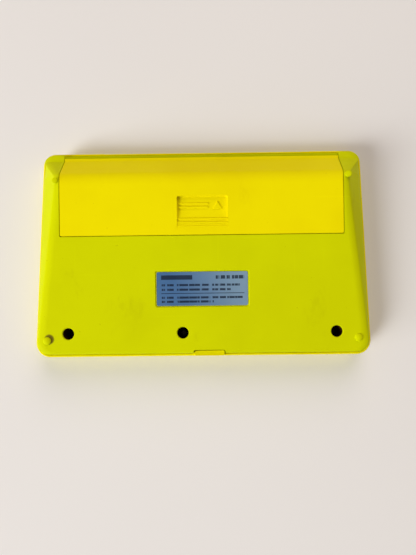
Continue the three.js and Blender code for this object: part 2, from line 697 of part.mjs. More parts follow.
function buzzerDisc() {
  const profile = [[0, -0.4], [CERAMIC_RADIUS, -0.4], [CERAMIC_RADIUS, -0.2], [BUZZER_RADIUS, -0.2],
    [BUZZER_RADIUS, 0], [0, 0]];
  return onPanel(lathe(profile, 28), BUZZER_X, BUZZER_Y, -WALL - GAP - 0.1);
}

function buzzerLead(side) {
  const x = BUZZER_X + side * 3;
  const high = PARTING + panelHeight(BUZZER_Y) - WALL - 1.6;
  return tube([
    new THREE.Vector3(x, BUZZER_Y + side, high),
    new THREE.Vector3(x - 3, BUZZER_Y + side, high - 0.8),
    new THREE.Vector3(x - 8, BUZZER_Y + 2 * side, BOARD_TOP + 1.2),
    new THREE.Vector3(x - 14, BUZZER_Y + 2 * side, BOARD_TOP + GAP + 0.6),
  ], 0.5);
}

// ---- Buttons ----

function buttonSolid(button) {
  const flangeBottom = FACE_INSIDE + GAP;
  const flangeTop = flangeBottom + BUTTON_FLANGE_THICK;
  const crown = 0.35;
  const cap = joinAll(toSolid(prism(buttonOutline(button, 0), BUTTON_FACE + crown, flangeBottom + 0.1)), [
    prism(buttonOutline(button, -0.45), BUTTON_FACE, BUTTON_FACE + crown + 0.1),
    prism(buttonOutline(button, BUTTON_FLANGE), flangeBottom, flangeTop),
    prism(circle(1.6, button.x, button.y, 16), flangeTop - 0.1, flangeTop + BUTTON_STEM),
  ]);
  return toGeometry(cap);
}

// Rubber mat under a group of buttons, with a nub over each.
function contactMat(buttons, width, x) {
  const sheet = toSolid(prism(rectangle(width, 28, x, -12.2, 1.5), MAT_BOTTOM, MAT_BOTTOM + MAT_THICK));
  const nubs = buttons.map((button) => prism(
    circle(button.radius ? 3 : 1.8, button.x, button.y, 16),
    MAT_BOTTOM - MAT_NUB,
    MAT_BOTTOM + 0.1,
  ));
  return toGeometry(joinAll(sheet, nubs));
}

// ---- Power ----

// An AA cell along X, its plus end towards +X.
function cell(centreX) {
  const half = CELL_LENGTH / 2;
  const can = half - CELL_NUB;
  const profile = [
    [0, -half], [4, -half], [CELL_RADIUS - 0.5, -half + 0.3], [CELL_RADIUS, -half + 0.8],
    [CELL_RADIUS, can - 0.5], [CELL_RADIUS - 0.5, can], [CELL_NUB_RADIUS, can + 0.05],
    [CELL_NUB_RADIUS, half - 0.1], [CELL_NUB_RADIUS - 0.3, half], [0, half],
  ];
  return lathe(profile, 20)
    .rotateY(Math.PI / 2)
    .translate(centreX, CELL_Y, CELL_Z);
}

// Sprung plate at one end of the bay; its tail leaves through the bay's wall.
function contactPlate(side) {
  const tailEnd = CELL_Y - BAY_HALF_LENGTH - BAY_WALL - TAIL_REACH;
  const yFar = CELL_Y + 6;
  const yNear = CELL_Y - 6;
  const low = CELL_Z - 5.5;
  const high = CELL_Z + 5;
  const tailLow = TAIL_Z - TAIL_WIDTH / 2;
  const tailHigh = TAIL_Z + TAIL_WIDTH / 2;
  const outline = [[yNear, low], [yFar, low], [yFar, high], [yNear, high], [yNear, tailHigh],
    [tailEnd, tailHigh], [tailEnd, tailLow], [yNear, tailLow]];
  const geometry = new THREE.ExtrudeGeometry(
    new THREE.Shape(outline.map(([y, z]) => new THREE.Vector2(y, z))),
    { depth: CONTACT_THICK, bevelEnabled: false },
  );
  geometry.rotateX(Math.PI / 2).rotateZ(Math.PI / 2);
  return geometry.translate(side * (BAY_HALF_WIDTH - GAP - CONTACT_THICK / 2) - CONTACT_THICK / 2, 0, 0);
}

function contactSpring() {
  const start = -BAY_HALF_WIDTH + GAP + CONTACT_THICK + 0.3 + 0.35;
  const turns = 2.5;
  const length = 1.9;
  class Coil extends THREE.Curve {
    getPoint(t, target = new THREE.Vector3()) {
      const angle = 2 * Math.PI * turns * t;
      const radius = 3.4 - 1.1 * t;
      const y = CELL_Y + radius * Math.cos(angle);
      return target.set(start + length * t, y, CELL_Z + radius * Math.sin(angle));
    }
  }
  const shape = new THREE.Shape(circle(0.28, 0, 0, 6));
  return new THREE.ExtrudeGeometry(shape, { extrudePath: new Coil(), steps: 32, bevelEnabled: false });
}

function batteryLead(side) {
  const x = side * (BAY_HALF_WIDTH - GAP - CONTACT_THICK / 2);
  const start = CELL_Y - BAY_HALF_LENGTH - BAY_WALL - TAIL_REACH - GAP;
  const over = BOARD_TOP + GAP + 0.6;
  return tube([
    new THREE.Vector3(x, start, TAIL_Z),
    new THREE.Vector3(x, start - 1.5, TAIL_Z),
    new THREE.Vector3(x - side * 1.5, start - 4, over + 0.2),
    new THREE.Vector3(x - side * 4, start - 7, over),
    new THREE.Vector3(x - side * 9, start - 8, over),
  ], 0.6);
}

// ---- Fasteners and label ----

function panHeadScrew(x, y, seat, headRadius, headHeight, shankLength) {
  const profile = [
    [0, -shankLength], [0.3, -shankLength], [SHANK_RADIUS, -shankLength + 1], [SHANK_RADIUS, 0],
    [headRadius, 0], [headRadius, headHeight * 0.45], [headRadius * 0.7, headHeight * 0.9], [0, headHeight],
  ];
  const screw = toSolid(lathe(profile, 12).translate(x, y, seat));
  const slotLength = headRadius * 1.25;
  const slots = [[slotLength, 0.5], [0.5, slotLength]].map(([width, length]) => prism(
    rectangle(width, length, x, y),
    seat + headHeight * 0.4,
    seat + headHeight + 1,
  ));
  return toGeometry(cutAll(screw, slots));
}

function ratingLabel() {
  const outline = rectangle(LABEL_WIDTH, LABEL_LENGTH, 0, 0, 0.6);
  return onPanel(prism(outline, LABEL_SEAT, LABEL_SEAT + LABEL_THICK), 0, LABEL_Y);
}

// ---- Assembly ----

function piece(parent, name, geometry, finish) {
  const mesh = new THREE.Mesh(geometry, finish);
  mesh.name = name;
  parent.add(mesh);
}

function assemble() {
  const game = new THREE.Group();
  const housing = new THREE.Group();
  const display = new THREE.Group();
  const electronics = new THREE.Group();
  const power = new THREE.Group();
  const controls = new THREE.Group();
  game.add(housing, display, electronics, power, controls);

  piece(housing, 'rear_case', rearCase(), lemonPlastic());
  piece(housing, 'battery_cover', batteryCover(), coverPlastic());
  piece(housing, 'front_case', frontCase(), frontPlastic());
  piece(housing, 'face_plate', facePlate(), platePrint());
  piece(housing, 'rating_label', ratingLabel(), silverFoil());
  SCREW_X.forEach((x, place) => {
    const screw = panHeadScrew(x, SCREW_Y, WELL_FLOOR + GAP, 1.9, 1.5, WELL_FLOOR + GAP - PILOT_FLOOR - 0.1);
    piece(housing, `case_screw_${SCREW_NAMES[place]}`, screw, darkSteel());
  });

  const windowShape = rectangle(LCD_WIDTH, LCD_LENGTH, 0, LCD_Y, 0.8);
  const window = prism(windowShape, WINDOW_BOTTOM, WINDOW_BOTTOM + WINDOW_THICK);
  const glass = prism(rectangle(LCD_WIDTH, LCD_LENGTH, 0, LCD_Y), LCD_BOTTOM, LCD_BOTTOM + LCD_THICK);
  const film = rectangle(LCD_WIDTH - 4, LCD_LENGTH - 6, 0, LCD_Y);
  const reflector = prism(film, REFLECTOR_BOTTOM, REFLECTOR_BOTTOM + REFLECTOR_THICK);
  piece(display, 'lcd_window', window, clearAcrylic());
  piece(display, 'lcd_glass', glass, displayGlass());
  piece(display, 'lcd_reflector', reflector, silverFoil());
  piece(display, 'lcd_frame', displayFrame(), blackPlastic());
  piece(display, 'zebra_strip_upper', zebraStrip(1), conductiveRubber());
  piece(display, 'zebra_strip_lower', zebraStrip(-1), conductiveRubber());

  piece(electronics, 'main_board', mainBoard(), boardLaminate());
  piece(electronics, 'chip_blob', chipBlob(), epoxy());
  piece(electronics, 'crystal', crystalCan(), steel());
  piece(electronics, 'capacitor', capacitor(), blackPlastic());
  piece(electronics, 'resistor', resistor(), boardLaminate());
  piece(electronics, 'buzzer_disc', buzzerDisc(), brass());
  piece(electronics, 'buzzer_lead_upper', buzzerLead(1), redSleeve());
  piece(electronics, 'buzzer_lead_lower', buzzerLead(-1), blackSleeve());
  [-POST_X, POST_X].forEach((x, column) => POST_Y.forEach((y, row) => {
    const name = `board_screw_${['left', 'right'][column]}_${['lower', 'upper'][row]}`;
    piece(electronics, name, panHeadScrew(x, y, BOARD_TOP + GAP, 1.8, 1.2, 5.5), steel());
  }));

  const half = CELL_LENGTH / 2 + 0.15;
  piece(power, 'battery_left', cell(-half), cellSleeve());
  piece(power, 'battery_right', cell(half), cellSleeve());
  piece(power, 'contact_plus', contactPlate(1), steel());
  piece(power, 'contact_minus', contactPlate(-1), steel());
  piece(power, 'contact_spring', contactSpring(), steel());
  piece(power, 'battery_lead_plus', batteryLead(1), redSleeve());
  piece(power, 'battery_lead_minus', batteryLead(-1), blackSleeve());

  BUTTONS.forEach((button) => piece(controls, button.name, buttonSolid(button), redPlastic()));
  KEYS.forEach((key) => piece(controls, key.name, buttonSolid(key), greyRubber()));
  piece(controls, 'contact_mat_left', contactMat(BUTTONS.slice(0, 2), 22, -50.2), greyRubber());
  piece(controls, 'contact_mat_right', contactMat([BUTTONS[2], ...KEYS], 23, 50.2), greyRubber());
  return game;
}

export default assemble();
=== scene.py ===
# Handheld LCD game, lying on its face with the battery side up.
# Lengths in this script are millimetres until a mesh is stored, where they become metres.
import json
import math

import bmesh
import bpy
from mathutils import Matrix, Vector


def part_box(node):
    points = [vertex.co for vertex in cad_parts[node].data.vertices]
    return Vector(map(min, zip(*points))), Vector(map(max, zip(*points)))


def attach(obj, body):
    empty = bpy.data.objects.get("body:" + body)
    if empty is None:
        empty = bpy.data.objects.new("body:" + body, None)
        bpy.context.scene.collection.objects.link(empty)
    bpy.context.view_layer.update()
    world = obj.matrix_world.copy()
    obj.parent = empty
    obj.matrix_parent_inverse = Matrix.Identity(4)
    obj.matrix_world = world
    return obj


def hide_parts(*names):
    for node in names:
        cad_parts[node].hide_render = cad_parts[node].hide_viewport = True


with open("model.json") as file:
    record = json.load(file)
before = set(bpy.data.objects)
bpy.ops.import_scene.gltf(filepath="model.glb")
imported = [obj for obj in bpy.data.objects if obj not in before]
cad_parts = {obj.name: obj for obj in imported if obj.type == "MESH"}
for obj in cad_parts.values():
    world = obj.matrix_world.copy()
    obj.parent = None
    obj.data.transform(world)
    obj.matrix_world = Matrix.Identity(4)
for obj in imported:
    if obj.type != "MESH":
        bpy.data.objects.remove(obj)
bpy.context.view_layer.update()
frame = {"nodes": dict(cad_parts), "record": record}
nodes = frame["nodes"]
MM = 0.001


def node_box(node):
    """Lowest and highest corner of a CAD node in millimetres."""
    low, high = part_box(node)
    return low / MM, high / MM


def node_middle(node):
    low, high = node_box(node)
    return (low + high) / 2


# ---- Sizes, from the frame and from the driving dimensions of the object ----

FRONT_HIGH = node_box("front_case")[1]
HALF_WIDTH = FRONT_HIGH.x
HALF_LENGTH = FRONT_HIGH.y
PARTING = 9.3
GAP = 0.3
OVERLAP = 0.2
WALL = 1.8
CLEAR_HEIGHT = 30
POCKET_CLEARANCE = 3
LOWER_CORNER = 6
UPPER_CORNER = 5
CORNER_STEPS = 14

PANEL_MID = 9.9
PANEL_RISE = 0.1311
PANEL_TILT = math.atan(PANEL_RISE)

RIM = 0.7
GROOVE = 0.4
REAR_HALF_WIDTH = HALF_WIDTH - RIM - GROOVE
REAR_HALF_LENGTH = HALF_LENGTH - RIM - GROOVE
REAR_BASE = -1
FLANK_START = 3.2
FLANK_LEAN = 0.85
FLANK_DRAFT = 0.05
FLANK_BLEND = 1.2
END_DRAFT = 0.12
END_ROLL_RUN = 0.9
LEAST_WALL = 0.6
LEAST_CORNER = 1.5
ROLL_RADIUS = 7.5
ROLL_ANGLE = math.radians(27)
ROLL_DROP = ROLL_RADIUS * (1 - math.cos(ROLL_ANGLE))
SLOPE_TOP_Y = 27.94
SLOPE_RADIUS = 7.3
FOOT_LINE_HEIGHT = 3.6
FOOT_LINE_FALL = 0.3
FOOT_LINE_Y = SLOPE_TOP_Y + PANEL_MID + PANEL_RISE * SLOPE_TOP_Y - FOOT_LINE_HEIGHT
FOOT_LINE_RADIUS = 2.9
STRIP_HEIGHT = 0.4

COVER_HALF_WIDTH = 56.05
COVER_END_HALF_WIDTH = 57.8
COVER_FRONT_Y = 4.5
COVER_END_Y = 39.65
COVER_FLARE_Y = 26
COVER_THICK = 2.1
DECK_DROP = COVER_THICK + GAP
DECK_THICK = 1.5
TONGUE_X = 36
TONGUE_WIDTH = 12
TONGUE_REACH = 2.6
TONGUE_ROOT = 4
TONGUE_TOP = -1.2
TONGUE_THICK = 0.8
TONGUE_POCKET_Y = 0.5
TONGUE_POCKET_BOTTOM = -4.5

RECESS_X = 0.4
RECESS_WIDTH = 20.1
RECESS_TOP_Y = 19.8
RECESS_FOOT_Y = 6.7
RECESS_DEPTH = 1.3
RECESS_DEEP_RUN = 5.5
GRIP_RIB_Y = (10.75, 9.25, 7.75)
ARROW_X = 6.4
ARROW_Y = (14.7, 17.6)
ARROW_WIDTH = 3.6
MARK_HEIGHT = 0.42
MARK_BAR_X = -3.1
MARK_BAR_Y = (16.7, 15.3)
MARK_BAR_WIDTH = 11.7
MARK_BAR_ACROSS = 0.75

LABEL_LOW, LABEL_HIGH = node_box("rating_label")
LABEL_WIDTH = LABEL_HIGH.x - LABEL_LOW.x
LABEL_LENGTH = 13.35
LABEL_Y = -16.68
LABEL_POCKET = 0.45

SCREWS = ("case_screw_left", "case_screw_middle", "case_screw_right")
WELL_RADIUS = 2.28
WELL_FLOOR = 7
WELL_BOTTOM = 5.6
WELL_TOP = PARTING + 4.4
WELL_WALL = 1.2
PILOT_RADIUS = 1.3
SCREW_POST_RADIUS = 3
THREAD_ROOT = 0.78
THREAD_CREST = 1.0
THREAD_PITCH = 0.36
SLOT_LENGTH = 2.4
SLOT_WIDTH = 0.5
SLOT_DEPTH = 0.8

# Small feet moulded on the back: x, y, radius and height above the panel. Those at the battery end are low.
FOOT_ROOT = 1.4
FEET = (
    (-61.5, -36.5, 1.6, 0.8),
    (61.4, -36.4, 1.6, 0.8),
    (-57.9, 26.4, 1.1, 0.12),
    (58.2, 27.6, 1.2, 0.15),
)

NOTCH_X = 2.6
NOTCH_WIDTH = 12.75
NOTCH_Y = -40.7
NOTCH_LENGTH = 6
NOTCH_CORNER = 0.9
TAB_HEIGHT = 1.9
TAB_THICK = 2
TAB_INSET = 0.1
TAB_NARROWING = 1 - 0.2 / 6

FACE_RECESS = 1.6
FACE_INSIDE = 3
FACE_RIM = 3
LEDGE_DROP = 1.3
SEAM_DEPTH = 0.3
LEDGE_INSET = RIM + GROOVE - 0.03
FACE_CORNER = 3
FOOT_EDGE_RUN = 1.2
FOOT_EDGE_RISE = 1.5
RIM_EDGE_RUN = 0.42
RIM_EDGE_RISE = 0.45
RELIEF_X = 2.2
RELIEF_WIDTH = 88.4
RELIEF_DEPTH = 0.22
RELIEF_BOTTOM = 2

CELL_Y = node_middle("battery_left").y
CELL_RADIUS = 7.1
CELL_NUB = 1.2
CELL_NUB_RADIUS = 2.75
BAY_HALF_WIDTH = 54.5
BAY_HALF_LENGTH = 7.6
BAY_FLOOR = 4.3
BAY_WALL = 1.2
BAY_BOTTOM = 3.4
BAY_TOP = PARTING + 8

LCD_Y = node_middle("lcd_glass").y
WINDOW_WIDTH = 54
WINDOW_LENGTH = 24

ROUND_BUTTONS = {"left_button": 4.6, "right_button": 4.6, "action_button": 6}
KEYS = ("game_a_key", "game_b_key", "sound_key")
KEY_WIDTH = 5
KEY_LENGTH = 3
FLANGE_BOTTOM = FACE_INSIDE + GAP
FLANGE_THICK = 0.8
STEM_RADIUS = 1.6


# ---- Mesh helpers ----


def store(name, mesh):
    """Makes an object of a bmesh in millimetres and frees the bmesh."""
    bmesh.ops.scale(mesh, vec=(MM, MM, MM), verts=mesh.verts)
    data = bpy.data.meshes.new(name)
    mesh.to_mesh(data)
    mesh.free()
    piece = bpy.data.objects.new(name, data)
    bpy.context.scene.collection.objects.link(piece)
    return piece


def rings_mesh(rings, mirrored=False):
    """Closed bmesh through rings of matching points, lowest ring first, anticlockwise from above."""
    mesh = bmesh.new()
    rows = [[mesh.verts.new(point) for point in ring] for ring in rings]
    count = len(rows[0])
    for below, above in zip(rows, rows[1:]):
        for step in range(count):
            after = (step + 1) % count
            mesh.faces.new((below[step], below[after], above[after], above[step]))
    if mirrored:
        for step in range(count // 2 - 1):
            other = count - 1 - step
            mesh.faces.new((rows[-1][step], rows[-1][step + 1], rows[-1][other - 1], rows[-1][other]))
            mesh.faces.new((rows[0][step], rows[0][other], rows[0][other - 1], rows[0][step + 1]))
    else:
        mesh.faces.new(rows[-1])
        mesh.faces.new(list(reversed(rows[0])))
    return mesh


def prism_mesh(outline, low, high):
    return rings_mesh([[(x, y, z) for x, y in outline] for z in (low, high)])


def moved(mesh, x=0, y=0, z=0, tilt=0):
    """Tilts a bmesh about X and then moves it."""
    place = Matrix.Translation((x, y, z)) @ Matrix.Rotation(tilt, 4, "X")
    bmesh.ops.transform(mesh, matrix=place, verts=mesh.verts)
    return mesh


def on_panel(mesh, x, y):
    """Lays a bmesh drawn about its own origin on the back panel at x, y."""
    return moved(mesh, x, y, PARTING + panel_height(y), PANEL_TILT)


def lathe_mesh(profile, sides=48):
    """Closed bmesh from (radius, height) points that start and end on the axis."""
    mesh = bmesh.new()
    verts = [mesh.verts.new((radius, 0, height)) for radius, height in profile]
    edges = [mesh.edges.new(pair) for pair in zip(verts, verts[1:])]
    bmesh.ops.spin(
        mesh,
        geom=verts + edges,
        cent=(0, 0, 0),
        axis=(0, 0, 1),
        angle=2 * math.pi,
        steps=sides,
    )
    bmesh.ops.remove_doubles(mesh, verts=mesh.verts, dist=1e-5)
    bmesh.ops.recalc_face_normals(mesh, faces=mesh.faces)
    return mesh


def boolean(piece, cutter_mesh, operation="DIFFERENCE"):
    """Cuts, joins or intersects a piece with a bmesh in millimetres."""
    cutter = store("cutter", cutter_mesh)
    modifier = piece.modifiers.new("boolean", "BOOLEAN")
    modifier.operation = operation
    modifier.solver = "MANIFOLD"
    modifier.object = cutter
    settle(piece)
    data = cutter.data
    bpy.data.objects.remove(cutter)
    bpy.data.meshes.remove(data)


def settle(piece):
    """Applies the modifiers of a piece to its mesh."""
    graph = bpy.context.evaluated_depsgraph_get()
    data = bpy.data.meshes.new_from_object(piece.evaluated_get(graph))
    piece.modifiers.clear()
    old = piece.data
    data.name = piece.name
    piece.data = data
    bpy.data.meshes.remove(old)


def round_edges(piece, chosen, width, segments=3):
    """Rounds the sharp edges that chosen(a, b, edge) picks, a and b being the ends in millimetres."""
    mesh = bmesh.new()
    mesh.from_mesh(piece.data)
    bmesh.ops.remove_doubles(mesh, verts=mesh.verts, dist=2e-6)
    bmesh.ops.dissolve_degenerate(mesh, edges=mesh.edges, dist=2e-6)
    sharp = math.radians(30)
    edges = [
        edge
        for edge in mesh.edges
        if len(edge.link_faces) == 2
        and edge.calc_face_angle(0) > sharp
        and chosen(edge.verts[0].co / MM, edge.verts[1].co / MM, edge)
    ]
    bmesh.ops.bevel(
        mesh,
        geom=edges,
        offset=width * MM,
        offset_type="OFFSET",
        segments=segments,
        profile=0.5,
        affect="EDGES",
        clamp_overlap=True,
    )
    mesh.to_mesh(piece.data)
    mesh.free()


def shade(piece, sharp_degrees=32):
    """Smooth shading with sharp edges kept, and flat faces kept flat."""
    mesh = bmesh.new()
    mesh.from_mesh(piece.data)
    limit = math.radians(sharp_degrees)
    for face in mesh.faces:
        face.smooth = True
    for edge in mesh.edges:
        edge.smooth = len(edge.link_faces) != 2 or edge.calc_face_angle(0) < limit
    mesh.to_mesh(piece.data)
    mesh.free()
    weighted = piece.modifiers.new("weighted_normals", "WEIGHTED_NORMAL")
    weighted.keep_sharp = True
    weighted.weight = 80


def add_piece(piece, body, material, stands_for=()):
    piece.data.materials.clear()
    piece.data.materials.append(material)
    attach(piece, body)
    if stands_for:
        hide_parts(*stands_for)
    return piece


# ---- Outlines ----


def arc(centre_x, centre_y, radius, start_degrees, steps):
    points = []
    for step in range(steps + 1):
        angle = math.radians(start_degrees + 90 * step / steps)
        points.append((centre_x + radius * math.cos(angle), centre_y + radius * math.sin(angle)))
    return points


def rounded_outline(half_width, half_length, lower, upper, steps=CORNER_STEPS):
    """Anticlockwise outline with one radius for the lower and one for the upper corners."""
    return (
        arc(half_width - upper, half_length - upper, upper, 0, steps)
        + arc(upper - half_width, half_length - upper, upper, 90, steps)
        + arc(lower - half_width, lower - half_length, lower, 180, steps)
        + arc(half_width - lower, lower - half_length, lower, 270, steps)
    )


def rounded_rectangle(width, length, x=0, y=0, radius=0.5, steps=5):
    outline = rounded_outline(width / 2, length / 2, radius, radius, steps)
    return [(px + x, py + y) for px, py in outline]


def circle(radius, x=0, y=0, sides=48):
    turn = 2 * math.pi / sides
    return [(x + radius * math.cos(turn * k), y + radius * math.sin(turn * k)) for k in range(sides)]


def flared_pocket(outline_at, depth, lip):
    """Cutter for a pocket from z = -depth up, its mouth at z = 0 rounded outwards by lip.

    outline_at(grow) is the pocket's outline grown by a margin.
    """
    levels = [(-depth, 0), (-lip, 0)]
    for step in range(1, 5):
        angle = math.pi / 2 * step / 4
        levels.append((-lip * math.cos(angle), lip * (1 - math.sin(math.pi / 2 - angle))))
    levels.append((POCKET_CLEARANCE, lip * 1.02))
    return rings_mesh([[(x, y, z) for x, y in outline_at(grow)] for z, grow in levels])


# ---- The wedge form ----


def panel_height(y):
    return PANEL_MID + PANEL_RISE * y


def bend(before, corner, after, radius, steps):
    """Arc between two straight lines that meet at corner."""
    towards = (before - corner).normalized()
    away = (after - corner).normalized()
    half_angle = towards.angle(away) / 2
    run = radius / math.tan(half_angle)
    centre = corner + (towards + away).normalized() * (radius / math.sin(half_angle))
    start = corner + towards * run - centre
    end = corner + away * run - centre
    sweep = math.atan2(start.x * end.y - start.y * end.x, start.dot(end))
    points = []
    for step in range(steps + 1):
        turn = Matrix.Rotation(sweep * step / steps, 2)
        points.append(centre + turn @ start)
    return points


def make_roof_line():
    start = Vector((-60, panel_height(-60)))
    crest = Vector((SLOPE_TOP_Y, panel_height(SLOPE_TOP_Y)))
    foot = Vector((FOOT_LINE_Y, FOOT_LINE_HEIGHT))
    end = Vector((60, FOOT_LINE_HEIGHT - FOOT_LINE_FALL * (60 - FOOT_LINE_Y)))
    crest_arc = bend(start, crest, foot, SLOPE_RADIUS, 14)
    foot_arc = bend(crest, foot, end, FOOT_LINE_RADIUS, 8)
    return [start, *crest_arc, *foot_arc, end]


ROOF_LINE = make_roof_line()


def roof_height(y):
    for a, b in zip(ROOF_LINE, ROOF_LINE[1:]):
        if y <= b.x:
            return a.y + (b.y - a.y) * (y - a.x) / (b.x - a.x)
    return ROOF_LINE[-1].y


def flank_half_width(height):
    over = height - FLANK_START
    leaned = (over + math.hypot(over, FLANK_BLEND)) / 2
    return REAR_HALF_WIDTH - FLANK_DRAFT * height - FLANK_LEAN * leaned


def wedge_ring(share, edge, inset, drop, base):
    tilt = ROLL_ANGLE * (1 - edge)
    roll_run = ROLL_RADIUS * (math.sin(ROLL_ANGLE) - math.sin(tilt))
    roll_rise = ROLL_RADIUS * (math.cos(tilt) - math.cos(ROLL_ANGLE))
    end_inset = inset + END_DRAFT * share + END_ROLL_RUN * edge * edge
    half_length = REAR_HALF_LENGTH - end_inset
    lower = max(LOWER_CORNER - RIM - GROOVE - end_inset, LEAST_CORNER)
    upper = max(UPPER_CORNER - RIM - GROOVE - end_inset, LEAST_CORNER)
    ring = []

    def place(y, corner_shift):
        roof = roof_height(y) - drop
        wall_top = max(roof - ROLL_DROP, base + LEAST_WALL)
        wall_height = base + (wall_top - base) * share
        half_width = flank_half_width(max(wall_height + drop, 0)) - inset - roll_run - corner_shift
        ring.append(Vector((half_width, y, wall_height + roll_rise + PARTING)))

    for step in range(CORNER_STEPS + 1):
        angle = -math.pi / 2 * (1 - step / CORNER_STEPS)
        place(-half_length + lower + lower * math.sin(angle), lower * (1 - math.cos(angle)))
    for y in (-30, -20, -10, 0, 10, 18):
        place(y, 0)
    for point in ROOF_LINE[1:-1]:
        if point.x < 36:
            place(point.x, 0)
    for step in range(CORNER_STEPS + 1):
        angle = math.pi / 2 * step / CORNER_STEPS
        place(half_length - upper + upper * math.sin(angle), upper * (1 - math.cos(angle)))
    return ring + [Vector((-p.x, p.y, p.z)) for p in reversed(ring)]


def wedge_mesh(inset=0, drop=0, base=REAR_BASE, coarse=False):
    shares = (0, 0.5, 1) if coarse else (0, 0.2, 0.35, 0.5, 0.65, 0.8, 0.9, 1)
    edges = (0.5, 1) if coarse else (1 / 6, 2 / 6, 3 / 6, 4 / 6, 5 / 6, 1)
    levels = [(share, 0) for share in shares] + [(1, edge) for edge in edges]
    rings = [wedge_ring(share, edge, inset, drop, base) for share, edge in levels]
    return rings_mesh(rings, mirrored=True)


def cover_outline(margin, end_y, corner=0.5):
    """The battery cover from above, grown by a margin, with its front corners rounded."""
    front = COVER_FRONT_Y - margin
    rate = (COVER_END_HALF_WIDTH - COVER_HALF_WIDTH) / (COVER_END_Y - COVER_FLARE_Y)
    half = COVER_HALF_WIDTH + margin
    end_half = half + rate * (end_y - COVER_FLARE_Y)
    lower_left = arc(corner - half, front + corner, corner, 180, 4)
    lower_right = arc(half - corner, front + corner, corner, 270, 4)
    return lower_left + lower_right + [(half, COVER_FLARE_Y), (end_half, end_y), (-end_half, end_y),
                                       (-half, COVER_FLARE_Y)]


def near_cover_outline(point, margin, slack=0.03):
    """True where a point is on the side or front line of the cover outline grown by a margin."""
    rate = (COVER_END_HALF_WIDTH - COVER_HALF_WIDTH) / (COVER_END_Y - COVER_FLARE_Y)
    half = COVER_HALF_WIDTH + margin + rate * max(point.y - COVER_FLARE_Y, 0)
    front = COVER_FRONT_Y - margin
    on_side = abs(abs(point.x) - half) < slack and point.y > front - slack
    on_front = abs(point.y - front) < slack and abs(point.x) < half + slack
    in_corner = abs(point.x) > half - 0.6 and point.y < front + 0.6 and point.y > front - slack
    return on_side or on_front or in_corner


# ---- Rear case ----


def foot_nub_mesh(radius, height):
    profile = [(0, -FOOT_ROOT), (radius, -FOOT_ROOT), (radius, 0)]
    for step in range(7):
        angle = math.pi / 2 * step / 6
        profile.append((radius * math.cos(angle), height * math.sin(angle)))
    profile[-1] = (0, height)
    return lathe_mesh(profile, 32)


def tongue_pocket_mesh(x, to_y, top):
    """Block below the roof or the deck that a tongue of the cover slides into."""
    outline = rounded_rectangle(TONGUE_WIDTH + 4, to_y - TONGUE_POCKET_Y, radius=0.2, steps=1)
    block = prism_mesh(outline, TONGUE_POCKET_BOTTOM, top)
    return on_panel(block, x, (TONGUE_POCKET_Y + to_y) / 2)


def label_pocket_outline(grow):
    return rounded_rectangle(LABEL_WIDTH + 0.6 + 2 * grow, LABEL_LENGTH + 0.6 + 2 * grow, radius=0.4 + grow)


